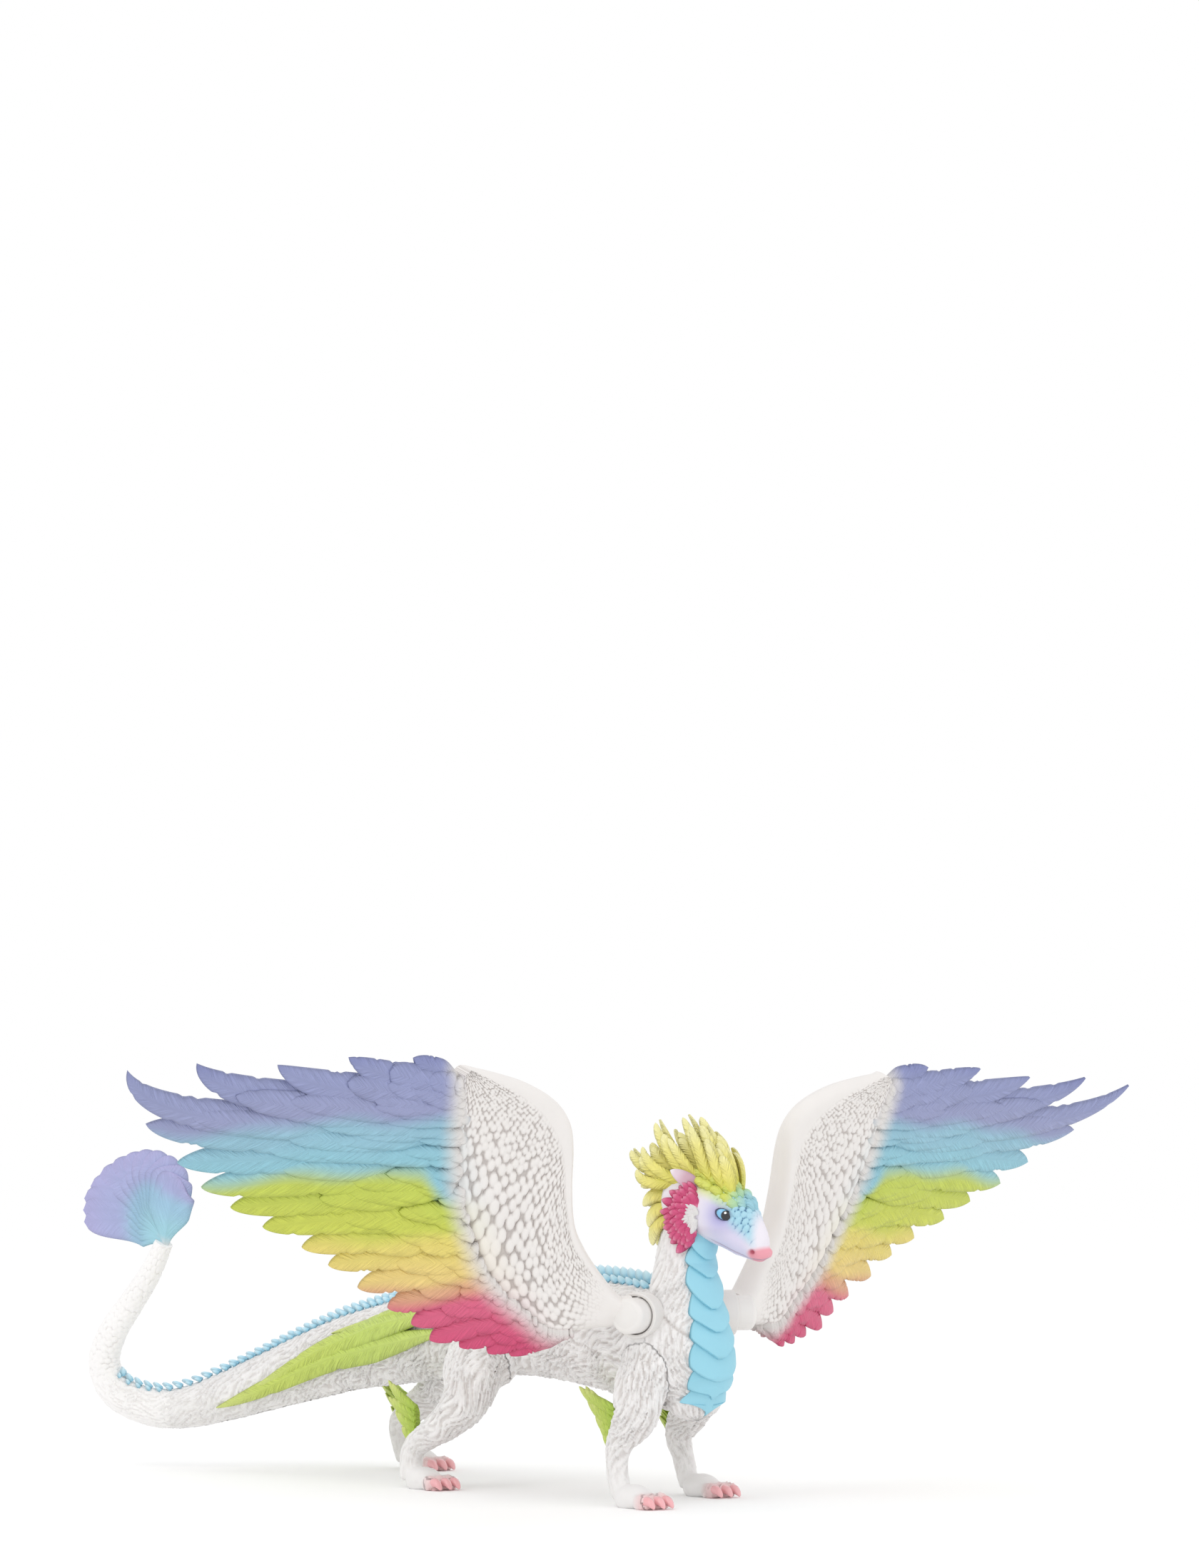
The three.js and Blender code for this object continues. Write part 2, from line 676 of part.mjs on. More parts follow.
function tuftShape(length, height) {
  const half = height / 2;
  const shape = new THREE.Shape();
  shape.moveTo(1.5, -half);
  shape.quadraticCurveTo(-length * 0.45, -half * 1.1, -length, half * 0.2);
  shape.lineTo(-length * 0.72, half * 0.45);
  shape.lineTo(-length * 0.8, half * 0.85);
  shape.quadraticCurveTo(-length * 0.35, half * 1.25, 1.5, half);
  return shape;
}

function tuft({ root, length, height, lean }) {
  const blade = slab(tuftShape(length, height), TUFT_THICKNESS);
  return blade.rotateY(THREE.MathUtils.degToRad(lean)).translate(root[0], root[1], root[2]);
}

function buildLegs(group, bodyRoom) {
  const legRooms = {};
  for (const [name, pattern] of Object.entries(LEG_PATTERNS)) {
    const leg = without(legSolid(pattern, 0), bodyRoom);
    legRooms[name] = legSolid(pattern, GAP);
    addPiece(group, name, geometryOf(leg), COLOURS.fur);
  }
  for (const [name, pattern] of Object.entries(TUFT_PATTERNS)) {
    const fin = without(solidOf(tuft(pattern)), [legRooms[pattern.leg], ...bodyRoom]);
    addPiece(group, name, geometryOf(fin), COLOURS.green);
  }
  return legRooms;
}

// ---------------------------------------------------------------- plates, ridges, plumes and tail fan

// A point on the skin of the spine: angle 0 is its right side, 90 degrees is its top.
function skinPoint(station, angle, lift) {
  const { centre, side, rise } = frameAt(SPINE, station, TAIL_SIDE);
  const girth = station < RUMP_STATION ? TRUNK_GIRTH : TAIL_GIRTH;
  const turn = THREE.MathUtils.degToRad(angle);
  centre.addScaledVector(side, (columnAt(SPINE, 3, station) * girth + lift) * Math.cos(turn));
  return centre.addScaledVector(rise, (columnAt(SPINE, 4, station) * girth + lift) * Math.sin(turn));
}

// A row of back plates from one spine station to another, tapering with the body under it.
function ridge(from, to, steps) {
  const stations = [];
  for (let i = 0; i <= steps; i += 1) {
    const station = mix(from, to, i / steps);
    const top = skinPoint(station, 90, 0);
    const size = THREE.MathUtils.clamp(columnAt(SPINE, 4, station) / 10, 0.55, 1);
    stations.push([top.x, top.y, top.z, RIDGE_WIDTH * size, RIDGE_HEIGHT * size]);
  }
  return limb(stations, { sides: 6, steps, sideHint: TAIL_SIDE });
}

function throatPlates() {
  const stations = [];
  const last = NECK.length - 1.6;
  const steps = 6;
  for (let i = 0; i <= steps; i += 1) {
    const station = mix(0.1, last, i / steps);
    const { centre } = frameAt(NECK, station, SIDEWAYS);
    const front = centre.x + columnAt(NECK, 4, station) * TRUNK_GIRTH;
    const narrow = mix(1, 0.75, i / steps);
    stations.push([front, centre.y, centre.z, PLATE_WIDTH * narrow, PLATE_HEIGHT]);
  }
  return limb(stations, { sides: 8, steps: 9 });
}

const PLUME_RUN = [
  { station: 5.9, angle: 16, width: 1.6, height: 4.2 },
  { station: 7, angle: 14, width: 1.7, height: 5.2 },
  { station: 8.2, angle: 14, width: 1.7, height: 4.8 },
  { station: 9.4, angle: 8, width: 1.6, height: 4.2 },
  { station: 10.4, angle: -4, width: 1.5, height: 3 },
  { station: 11.3, angle: -14, width: 1.2, height: 1.8 },
  { station: 12, angle: -18, width: 0.7, height: 0.7 },
];

function hipPlume(side) {
  const stations = PLUME_RUN.map(({ station, angle, width, height }) => {
    const skin = skinPoint(station, side < 0 ? angle : 180 - angle, 0);
    return [skin.x, skin.y, skin.z, width, height];
  });
  return limb(stations, { sides: 6, steps: 12, sideHint: TAIL_SIDE });
}

// Lobes of the tail fan: x, y, z of the middle and of the tip, counted from the tail's end.
const FAN_LOBES = [
  { bend: [4, 1, 7.5], tip: [5, 1.5, 17], width: 4.4 },
  { bend: [-1, -0.3, 9], tip: [-4, -1, 20.5], width: 4.6 },
  { bend: [-5, -1.5, 9], tip: [-13.5, -3, 20.5], width: 4.8 },
  { bend: [-8, -2.3, 7.5], tip: [-22.5, -5, 17], width: 4.6 },
  { bend: [-8, -2.5, 4.5], tip: [-28, -6.5, 10], width: 4 },
  { bend: [-8, -2.5, 2.5], tip: [-26, -6.5, 4], width: 2.6 },
];

function tailFan() {
  const end = vector(SPINE[SPINE.length - 1]);
  const lobes = FAN_LOBES.map(({ bend, tip, width }) => {
    const stations = [
      [end.x, end.y, end.z + 1.2, 1, 1.6],
      [end.x + bend[0], end.y + bend[1], end.z + bend[2], 1.3, width],
      [end.x + tip[0], end.y + tip[1], end.z + tip[2], 0.6, width * 0.5],
    ];
    return solidOf(limb(stations, { sides: 6, steps: 5, sideHint: TAIL_SIDE }));
  });
  return joined(lobes);
}

// ---------------------------------------------------------------- assembly

function buildFigure() {
  const group = new THREE.Group();
  const sockets = joined([socket(-1), socket(1)]);
  const trunk = joined([trunkBody(0), neckBody(0)]);
  const torso = without(trunk, [seamSide(-GAP / 2), sockets, tailBody(GAP)]);
  const neck = without(trunk.intersect(seamSide(GAP / 2)), [sockets, headBody(GAP)]);
  const bodyRoom = [trunkBody(GAP), neckBody(GAP), tailBody(GAP), sockets];

  addPiece(group, 'torso', geometryOf(torso), COLOURS.fur);
  addPiece(group, 'neck_chest', geometryOf(neck), COLOURS.fur);
  addPiece(group, 'tail', geometryOf(tailBody(0)), COLOURS.fur);
  buildHead(group);
  const legRooms = buildLegs(group, bodyRoom);
  for (const [side, hand] of [[-1, 'right'], [1, 'left']]) {
    const plumeSolid = without(solidOf(hipPlume(side)), [...bodyRoom, legRooms[`hind_leg_${hand}`]]);
    addPiece(group, `hip_plume_${hand}`, geometryOf(plumeSolid), COLOURS.green);
    buildWing(group, side, hand);
  }
  const backRidge = without(solidOf(ridge(3.2, RUMP_STATION - 0.1, 8)), bodyRoom);
  const tailRidge = without(solidOf(ridge(RUMP_STATION + 0.1, RIDGE_END_STATION, 14)), bodyRoom);
  const plates = without(solidOf(throatPlates()), [...bodyRoom, headBody(GAP)]);
  const fan = without(tailFan(), [tailBody(GAP)]);
  addPiece(group, 'back_ridge', geometryOf(backRidge), COLOURS.sky);
  addPiece(group, 'tail_ridge', geometryOf(tailRidge), COLOURS.sky);
  addPiece(group, 'throat_plates', geometryOf(plates), COLOURS.sky);
  addPiece(group, 'tail_fan', geometryOf(fan), COLOURS.fan);
  return group;
}

function placeOnOrigin(group) {
  const box = new THREE.Box3().setFromObject(group);
  const middle = box.getCenter(new THREE.Vector3());
  group.position.set(-middle.x, -middle.y, -box.min.z);
  return group;
}

export default placeOnOrigin(buildFigure());
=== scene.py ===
"""Looks of a painted plastic toy figure, a standing dragon with feathered wings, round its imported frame.

Shapes are worked out in millimetres in the figure's own design frame: its origin is on the ground under the
shoulders, +X is forward, +Y is the figure's left and +Z is up. They are moved to the row frame as meshes
are made.
"""
import json
import logging
import math
from dataclasses import dataclass, replace
from enum import Enum
from typing import Callable, Sequence

import bpy
import numpy as np
from mathutils import Matrix


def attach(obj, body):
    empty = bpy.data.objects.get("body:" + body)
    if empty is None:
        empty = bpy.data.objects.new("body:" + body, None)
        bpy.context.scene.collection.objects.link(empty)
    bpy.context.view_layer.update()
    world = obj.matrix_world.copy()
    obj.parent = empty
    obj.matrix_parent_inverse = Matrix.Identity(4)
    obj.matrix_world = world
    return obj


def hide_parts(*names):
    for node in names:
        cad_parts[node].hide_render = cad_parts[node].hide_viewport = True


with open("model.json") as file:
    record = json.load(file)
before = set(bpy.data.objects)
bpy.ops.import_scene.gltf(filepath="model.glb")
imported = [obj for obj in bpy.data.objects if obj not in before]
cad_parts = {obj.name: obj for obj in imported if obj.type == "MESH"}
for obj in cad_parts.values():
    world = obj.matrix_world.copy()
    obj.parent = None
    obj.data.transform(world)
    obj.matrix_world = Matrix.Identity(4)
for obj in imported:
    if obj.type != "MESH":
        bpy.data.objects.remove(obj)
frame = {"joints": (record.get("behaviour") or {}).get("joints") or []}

Array = np.ndarray
Paint = Callable[[Array, Array], Array]      # colours from a feather's points and from 0..1 along it
LOG = logging.getLogger("dragon_figure")
MM = 0.001
TURN = 2.0 * math.pi


class Side(Enum):
    """The figure's two sides, as the sign of Y."""

    RIGHT = -1
    LEFT = 1

    @property
    def word(self) -> str:
        """The side's name as the node names have it."""
        return self.name.lower()


# ------------------------------------------------------------------ numbers and curves


def linear(code: str) -> Array:
    """Turns an sRGB hex colour into linear light.

    Args:
        code: six hex digits.

    Returns:
        Three linear values.
    """
    value = np.array([int(code[i:i + 2], 16) for i in (0, 2, 4)]) / 255.0
    return np.where(value <= 0.04045, value / 12.92, ((value + 0.055) / 1.055) ** 2.4)


def ease(value: Array, low: float, high: float) -> Array:
    """Rises smoothly from 0 at low to 1 at high (3t² − 2t³)."""
    t = np.clip((np.asarray(value, float) - low) / (high - low), 0.0, 1.0)
    return t * t * (3.0 - 2.0 * t)


def unit(vectors: Array) -> Array:
    """Scales vectors along the last axis to length 1."""
    return vectors / np.maximum(np.linalg.norm(vectors, axis=-1, keepdims=True), 1e-9)


def hashed(*keys: Array) -> Array:
    """Gives repeatable noise in 0..1 for whole-number keys: the fraction of a large sine."""
    weights = (12.9898, 78.233, 37.719, 4.581)
    total = sum(np.asarray(key, float) * weight for key, weight in zip(keys, weights))
    return np.abs(np.sin(total) * 43758.5453) % 1.0


def spline(points: Array, t: Array) -> Array:
    """Reads a Catmull-Rom curve through points, with equal shares of t for its spans.

    Args:
        points: the curve's points, one a row.
        t: places along it, 0 to 1.

    Returns:
        One row of coordinates for each t.
    """
    points = np.asarray(points, float)
    padded = np.vstack([2 * points[0] - points[1], points, 2 * points[-1] - points[-2]])
    place = np.clip(np.asarray(t, float), 0.0, 1.0) * (len(points) - 1)
    low = np.minimum(place.astype(int), len(points) - 2)
    f = (place - low)[..., None]
    a, b, c, d = (padded[low + k] for k in range(4))
    return 0.5 * (2 * b + (c - a) * f + (2 * a - 5 * b + 4 * c - d) * f**2 + (3 * b - a - 3 * c + d) * f**3)


def bezier(points: Array, t: Array) -> Array:
    """Reads the quadratic curve that starts at points[0], leans to points[1] and ends at points[2]."""
    t = np.asarray(t, float)[..., None]
    a, b, c = (np.asarray(p, float) for p in points)
    return (1 - t) ** 2 * a + 2 * t * (1 - t) * b + t**2 * c


def run_length(line: Array) -> Array:
    """Measures the way along a line of points, from 0 at its first."""
    return np.concatenate([[0.0], np.cumsum(np.linalg.norm(np.diff(line, axis=0), axis=1))])


def turn_about_z(angle: float) -> Array:
    """Gives the matrix that turns points by an angle in radians about the upright axis."""
    c, s = math.cos(angle), math.sin(angle)
    return np.array([[c, -s, 0], [s, c, 0], [0, 0, 1]])


def mixed(a: Array, b: Array, share: Array) -> Array:
    """Blends two colours or rows by a share for each point."""
    share = np.asarray(share, float)[..., None]
    return a * (1 - share) + b * share


def colour_ramp(stops: Sequence[tuple[float, str]], value: Array) -> Array:
    """Blends a list of colours by position, easing from each to the next.

    Args:
        stops: rising positions, each with a hex colour.
        value: positions to read.

    Returns:
        Linear colours, one for each value.
    """
    value = np.asarray(value, float)
    result = np.broadcast_to(linear(stops[0][1]), value.shape + (3,)).copy()
    for (low, _), (high, code) in zip(stops[:-1], stops[1:]):
        result = mixed(result, linear(code), ease(value, low, high))
    return result


# ------------------------------------------------------------------ closed meshes from grids


NO_TRIS = np.zeros((0, 3), int)

@dataclass
class Patch:
    """A closed shape: points in mm, its quads and triangles, and a linear colour for each point.

    The grain holds, for each point, mm along a feather or lock, mm across it, and the grain's strength.
    """

    points: Array
    quads: Array
    tris: Array
    paint: Array
    grain: Array | None = None

    def __post_init__(self) -> None:
        """Gives a shape without a grain one of no strength."""
        if self.grain is None:
            self.grain = np.zeros_like(self.points)

    @staticmethod
    def joined(patches: Sequence["Patch"]) -> "Patch":
        """Puts several closed shapes into one list of points and faces."""
        starts = np.cumsum([0] + [len(p.points) for p in patches[:-1]])
        return Patch(
            np.vstack([p.points for p in patches]),
            np.vstack([p.quads + s for p, s in zip(patches, starts)]),
            np.vstack([p.tris + s for p, s in zip(patches, starts)]),
            np.vstack([p.paint for p in patches]),
            np.vstack([p.grain for p in patches]),
        )

    def outward(self) -> "Patch":
        """Turns the faces over when the signed volume says that they point inwards."""
        split = np.vstack([self.quads[:, [0, 1, 2]], self.quads[:, [0, 2, 3]], self.tris])
        a, b, c = (self.points[split[:, k]] for k in range(3))
        if np.einsum("ij,ij->", a, np.cross(b, c)) < 0:
            self.quads, self.tris = self.quads[:, ::-1], self.tris[:, ::-1]
        return self

    def turned(self, turn: Array) -> "Patch":
        """Returns the shape with its points turned by a matrix."""
        return Patch(self.points @ turn.T, self.quads, self.tris, self.paint, self.grain)


def tube(rings: Array, paint: Array) -> Patch:
    """Skins a stack of rings and closes both ends with a fan.

    Args:
        rings: points by ring and by place around it.
        paint: a colour for each point, or one for all.

    Returns:
        The closed shape.
    """
    count, around = rings.shape[:2]
    here = np.arange(count * around).reshape(count, around)
    beside = np.roll(here, -1, axis=1)
    quads = np.stack([here[:-1], beside[:-1], beside[1:], here[1:]], -1).reshape(-1, 4)
    tip, tail = np.full(around, count * around), np.full(around, count * around + 1)
    tris = np.vstack([np.stack([beside[0], here[0], tip], -1), np.stack([here[-1], beside[-1], tail], -1)])
    colours = np.broadcast_to(paint, rings.shape)
    ends = [rings[0].mean(0), rings[-1].mean(0)]
    end_paint = [colours[0].mean(0), colours[-1].mean(0)]
    return Patch(
        np.vstack([rings.reshape(-1, 3), ends]), quads, tris, np.vstack([colours.reshape(-1, 3), end_paint])
    ).outward()


def plate(front: Array, back: Array, paint: Array, grain: Array | None = None) -> Patch:
    """Closes the space between two grids that share an outline.

    Args:
        front: points by row and column on one face.
        back: the matching points on the other face.
        paint: a colour for each front point, or one for all.
        grain: the grain at each front point, if there is any.

    Returns:
        The closed shape.
    """
    rows, columns = front.shape[:2]
    f = np.arange(rows * columns).reshape(rows, columns)
    skin = np.stack([f[:-1, :-1], f[:-1, 1:], f[1:, 1:], f[1:, :-1]], -1).reshape(-1, 4)
    loop = np.concatenate([f[0, :-1], f[:-1, -1], f[-1, :0:-1], f[:0:-1, 0]])
    ahead = np.roll(loop, -1)
    size = rows * columns
    rim = np.stack([ahead, loop, loop + size, ahead + size], -1)
    quads = np.vstack([skin, skin[:, ::-1] + size, rim])
    colours = np.broadcast_to(paint, front.shape).reshape(-1, 3)
    points = np.vstack([front.reshape(-1, 3), back.reshape(-1, 3)])
    lie = None if grain is None else np.vstack([grain.reshape(-1, 3)] * 2)
    return Patch(points, quads, NO_TRIS, np.vstack([colours, colours]), lie).outward()


# ------------------------------------------------------------------ finishes


def add_node(tree: bpy.types.NodeTree, kind: str, settings: dict, inputs: dict) -> bpy.types.Node:
    """Adds one shader node.

    Args:
        tree: the material's node tree.
        kind: the node's type name, without the ShaderNode before it.
        settings: attributes of the node.
        inputs: socket names or numbers, each with a value or with an output to link.

    Returns:
        The new node.
    """
    node = tree.nodes.new(f"ShaderNode{kind}")
    for key, value in settings.items():
        setattr(node, key, value)
    for key, value in inputs.items():
        if isinstance(value, bpy.types.NodeSocket):
            tree.links.new(value, node.inputs[key])
        else:
            node.inputs[key].default_value = value
    return node


class Grain(Enum):
    """What lies in a finish's surface besides the spray's own texture."""

    NONE = "none"
    BARBS = "barbs"          # fine slanting lines on both sides of a feather's shaft
    STRANDS = "strands"      # long hairs that follow the fur's flow


@dataclass(frozen=True)
class PaintedPvc:
    """Soft PVC, moulded and then airbrushed with matt acrylic: satin, with painted shade in its recesses.

    The colours come from each mesh's paint layer, and the barbs or strands follow its grain layer.
    """

    name: str = "painted moulded PVC"
    roughness: float = 0.5
    roughness_spread: float = 0.08
    coat: float = 0.0
    spray_mm: float = 0.5        # spray texture
    spray_depth_mm: float = 0.02
    mottle_mm: float = 7.0       # slow change in how thick the paint lies
    mottle: float = 0.04
    grain: Grain = Grain.NONE
    grain_mm: float = 0.7        # one barb or strand
    grain_length_mm: float = 6.0
    grain_depth_mm: float = 0.12
    # painted shade: the colour is made darker at the bottom of each barb or strand, where shade falls
    grain_wash: float = 0.16     # how much darker the paint is at the bottom of a line

    def lines(self, tree: bpy.types.NodeTree) -> bpy.types.NodeSocket:
        """Height, 0..1, of the barbs or strands that the grain layer lays out."""
        layer = add_node(tree, "Attribute", {"attribute_name": "grain"}, {})
        part = add_node(tree, "SeparateXYZ", {}, {0: layer.outputs["Vector"]})
        if self.grain is Grain.BARBS:
            side = add_node(tree, "Math", {"operation": "ABSOLUTE"}, {0: part.outputs["Y"]})
            slant = add_node(
                tree, "Math", {"operation": "MULTIPLY_ADD"},
                {0: side.outputs[0], 1: -1.5, 2: part.outputs["X"]},
            )
            lane = add_node(tree, "CombineXYZ", {}, {"X": slant.outputs[0], "Y": part.outputs["Y"]})
            stretch = (1 / self.grain_mm, 0.22, 1.0)
        else:
            lane = add_node(tree, "CombineXYZ", {}, {"X": part.outputs["X"], "Y": part.outputs["Y"]})
            stretch = (1 / self.grain_length_mm, 1 / self.grain_mm, 1.0)
        place = add_node(
            tree, "VectorMath", {"operation": "MULTIPLY"}, {0: lane.outputs[0], 1: stretch}
        )
        noise = add_node(
            tree, "TexNoise", {"noise_dimensions": "2D"},
            {"Vector": place.outputs["Vector"], "Scale": 1.0, "Detail": 2.0},
        )
        spread = add_node(
            tree, "MapRange", {}, {"Value": noise.outputs["Fac"], "From Min": 0.3, "From Max": 0.68}
        )
        return add_node(
            tree, "Math", {"operation": "MULTIPLY"}, {0: spread.outputs["Result"], 1: part.outputs["Z"]}
        ).outputs[0]

    def material(self) -> bpy.types.Material:
        """Builds the node material, or returns it when it is there already."""
        found = bpy.data.materials.get(self.name)
        if found:
            return found
        material = bpy.data.materials.new(self.name)
        material.use_nodes = True
        tree = material.node_tree
        tree.nodes.clear()
        out = add_node(tree, "OutputMaterial", {}, {})
        place = add_node(tree, "TexCoord", {}, {})
        layer = add_node(tree, "Attribute", {"attribute_name": "paint"}, {})
        mottle = add_node(
            tree, "TexNoise", {},
            {"Vector": place.outputs["Object"], "Scale": 1 / (self.mottle_mm * MM), "Detail": 3.0},
        )
        level = add_node(
            tree, "MapRange", {},
            {"Value": mottle.outputs["Fac"], "From Min": 0.3, "From Max": 0.7, "To Min": 1 - self.mottle,
             "To Max": 1.0},
        )
        colour = add_node(
            tree, "VectorMath", {"operation": "MULTIPLY"},
            {0: layer.outputs["Color"], 1: level.outputs["Result"]},
        )
        spray = add_node(
            tree, "TexNoise", {},
            {"Vector": place.outputs["Object"], "Scale": 1 / (self.spray_mm * MM), "Detail": 4.0},
        )
        bump = add_node(
            tree, "Bump", {},
            {"Height": spray.outputs["Fac"], "Distance": self.spray_depth_mm * MM, "Strength": 0.8},
        )
        if self.grain is not Grain.NONE:
            lines = self.lines(tree)
            # painted shade: darker colour at the bottom of each barb or strand
            painted_shade = add_node(
                tree, "MapRange", {}, {"Value": lines, "To Min": 1 - self.grain_wash, "To Max": 1.0}
            )
            colour = add_node(
                tree, "VectorMath", {"operation": "MULTIPLY"},
                {0: colour.outputs["Vector"], 1: painted_shade.outputs["Result"]},
            )
            bump = add_node(
                tree, "Bump", {},
                {"Height": lines, "Distance": self.grain_depth_mm * MM, "Strength": 1.0,
                 "Normal": bump.outputs["Normal"]},
            )
        gloss = add_node(
            tree, "MapRange", {},
            {"Value": spray.outputs["Fac"], "To Min": self.roughness - self.roughness_spread,
             "To Max": self.roughness + self.roughness_spread},
        )
        shader = add_node(
            tree, "BsdfPrincipled", {},
            {"Base Color": colour.outputs["Vector"], "Roughness": gloss.outputs["Result"],
             "Normal": bump.outputs["Normal"], "IOR": 1.5, "Coat Weight": self.coat, "Coat Roughness": 0.12},
        )
        tree.links.new(shader.outputs["BSDF"], out.inputs["Surface"])
        return material


SMOOTH_PVC = PaintedPvc(name="smooth moulded PVC", roughness=0.46, spray_depth_mm=0.012, mottle=0.03)
FEATHER_PAINT = PaintedPvc(
    name="airbrushed PVC feathers", grain=Grain.BARBS, grain_mm=0.62, grain_depth_mm=0.14
)
FUR_PAINT = PaintedPvc(
    name="painted PVC fur", grain=Grain.STRANDS, grain_mm=0.38, grain_length_mm=3.0, grain_depth_mm=0.12,
    grain_wash=0.07, roughness=0.56
)
GLOSS_ENAMEL = PaintedPvc(
    name="gloss enamel over PVC", roughness=0.16, roughness_spread=0.03, coat=0.6, spray_depth_mm=0.004,
    mottle=0.0
)


# ------------------------------------------------------------------ placing pieces


def hinge(name: str) -> dict:
    """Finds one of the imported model's joints by name."""
    return next(joint for joint in frame["joints"] if joint["name"] == name)


SHOULDER = np.array([0.0, 14.0, 43.4])       # the left wing's pivot in the design frame
ROW_SHIFT = np.array(hinge("left_wing_swivel")["pos_m"]) / MM - SHOULDER
CREASE_ANGLE = math.radians(42)


def mesh_of(name: str, patch: Patch) -> bpy.types.Mesh:
    """Writes a patch into a new mesh in the row frame, in metres, with its paint layer."""
    mesh = bpy.data.meshes.new(name)
    points = (patch.points + ROW_SHIFT) * MM
    corners = np.concatenate([patch.quads.ravel(), patch.tris.ravel()])
    starts = np.concatenate(
        [np.arange(len(patch.quads)) * 4, len(patch.quads) * 4 + np.arange(len(patch.tris)) * 3]
    )
    mesh.vertices.add(len(points))
    mesh.vertices.foreach_set("co", points.astype(np.float32).ravel())
    mesh.loops.add(len(corners))
    mesh.loops.foreach_set("vertex_index", corners.astype(np.int32))
    mesh.polygons.add(len(starts))
    mesh.polygons.foreach_set("loop_start", starts.astype(np.int32))
    mesh.update(calc_edges=True)
    mesh.validate()
    layer = mesh.color_attributes.new("paint", "FLOAT_COLOR", "POINT")
    rgba = np.ones((len(mesh.vertices), 4), np.float32)
    rgba[:, :3] = np.clip(patch.paint, 0, 1)
    layer.data.foreach_set("color", rgba.ravel())
    lie = mesh.attributes.new("grain", "FLOAT_VECTOR", "POINT")
    lie.data.foreach_set("vector", patch.grain.astype(np.float32).ravel())
    mesh.shade_smooth()
    mesh.set_sharp_from_angle(angle=CREASE_ANGLE)
    return mesh


@dataclass(frozen=True)
class Place:
    """Where a piece belongs: the body it rides on, the record's slot and the CAD nodes that it stands for."""

    body: str
    slot: str
    nodes: tuple[str, ...] = ()


def add_piece(name: str, patch: Patch, finish: PaintedPvc, place: Place) -> bpy.types.Object:
    """Makes a patch an object of the scene, dresses it and ties it to its CAD body.

    Args:
        name: the piece's name.
        patch: its shape.
        finish: its surface.
        place: its body, slot and CAD nodes.

    Returns:
        The new object.
    """
    piece = bpy.data.objects.new(name, mesh_of(name, patch))
    bpy.context.scene.collection.objects.link(piece)
    piece.data.materials.append(finish.material())
    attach(piece, place.body)
    if place.nodes:
        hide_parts(*place.nodes)
    LOG.info("%s: %d faces, rides on %s", name, len(piece.data.polygons), place.body)
    return piece


# ------------------------------------------------------------------ feathers


@dataclass(frozen=True)
class Vane:
    """One sculpted feather's build: sizes in mm, rows along it and columns across it."""

    half_width: float
    thickness: float = 0.7
    rows: int = 40
    columns: int = 11
    shaft_height: float = 0.2
    camber: float = 0.35
    root_width: float = 0.45
    point: float = 3.2           # higher keeps the feather wide for longer before its point
    sharpness: float = 0.8       # 0.5 rounds the tip, 1 ends it in straight sides
    nicks: int = 2
    barbs: float = 1.0

    def outline(self, t: Array, seed: float) -> Array:
        """Half width along the feather: widening from the root, narrowing to a point, with a few split nicks.

        Args:
            t: places from the root, 0, to the tip, 1.
            seed: picks where the nicks fall.

        Returns:
            Half widths in mm.
        """
        swell = self.root_width + (1 - self.root_width) * ease(t, 0.0, 0.35)
        body = swell * (1 - t**self.point) ** self.sharpness
        cut = np.zeros_like(t)
        for k in range(self.nicks):
            centre = 0.5 + 0.4 * hashed(seed, k)
            cut = np.maximum(cut, 0.15 * np.clip(1 - np.abs(t - centre) / 0.022, 0, 1))
        return np.maximum(self.half_width * body * (1 - cut), 0.05)

    def relief(self, t: Array, w: Array, half: Array) -> Array:
        """Height of the sculpted face above the feather's middle: domed, with a raised shaft.

        Args:
            t: places from the root to the tip.
            w: places over the width, -1 to 1.
            half: half widths in mm, one for each t.

        Returns:
            Heights in mm.
        """
        across = np.abs(w) * half[:, None]
        shaft = self.shaft_height * np.exp(-((across / 0.4) ** 2)) * (1 - ease(t, 0.75, 1.0))[:, None]
        edge = 1 - np.abs(w) ** 5
        thin = (0.45 + 0.55 * (1 - t**4))[:, None]
        dome = self.thickness / 2 * (0.3 + 0.7 * edge) * thin
        return dome + shaft + self.camber * (1 - w**2) * (half[:, None] / self.half_width)


def feather(
    vane: Vane, line: Array, across: Array, normal: Array, paint: Paint, seed: float, roll: float = 0.0,
) -> Patch:
    """Carries a vane along a line.

    Args:
        vane: the feather's build.
        line: its middle line from root to tip, one row for each of the vane's rows.
        across: unit vectors over its width.
        normal: unit vectors out of its face.
        paint: gives colours from the points and from 0..1 along the feather.
        seed: makes its nicks its own.
        roll: how far, in mm, the +w edge is lowered and the other raised.

    Returns:
        The closed feather.
    """
    t = np.linspace(0.0, 1.0, vane.rows)
    w = np.sin(np.linspace(-math.pi / 2, math.pi / 2, vane.columns))[None, :]
    arc = run_length(line)
    half = vane.outline(t, seed)
    relief = vane.relief(t, w, half)
    middle = line[:, None] + across[:, None] * (half[:, None] * w)[..., None]
    tilt = -roll * w * (half / vane.half_width)[:, None]
    front = middle + normal[:, None] * (tilt + relief)[..., None]
    underside = tilt - 0.5 * vane.thickness - 0.25 * (relief - vane.thickness / 2)
    back = middle + normal[:, None] * underside[..., None]
    colours = paint(middle, np.broadcast_to(t[:, None], relief.shape))
    # painted shade: both edges of every feather are darkened, a painted shadow line where feathers overlap
    painted_shade = 1 - 0.26 * (np.abs(w) ** 8)[..., None] * np.ones_like(t)[:, None, None]
    side = w * half[:, None]
    calm = vane.barbs * (1 - np.exp(-((side / 0.5) ** 2)))
    grain = np.stack([arc[:, None] + seed * 13.7 + 0 * side, side, calm], -1)
    return plate(front, back, colours * painted_shade, grain)


# ------------------------------------------------------------------ the wings


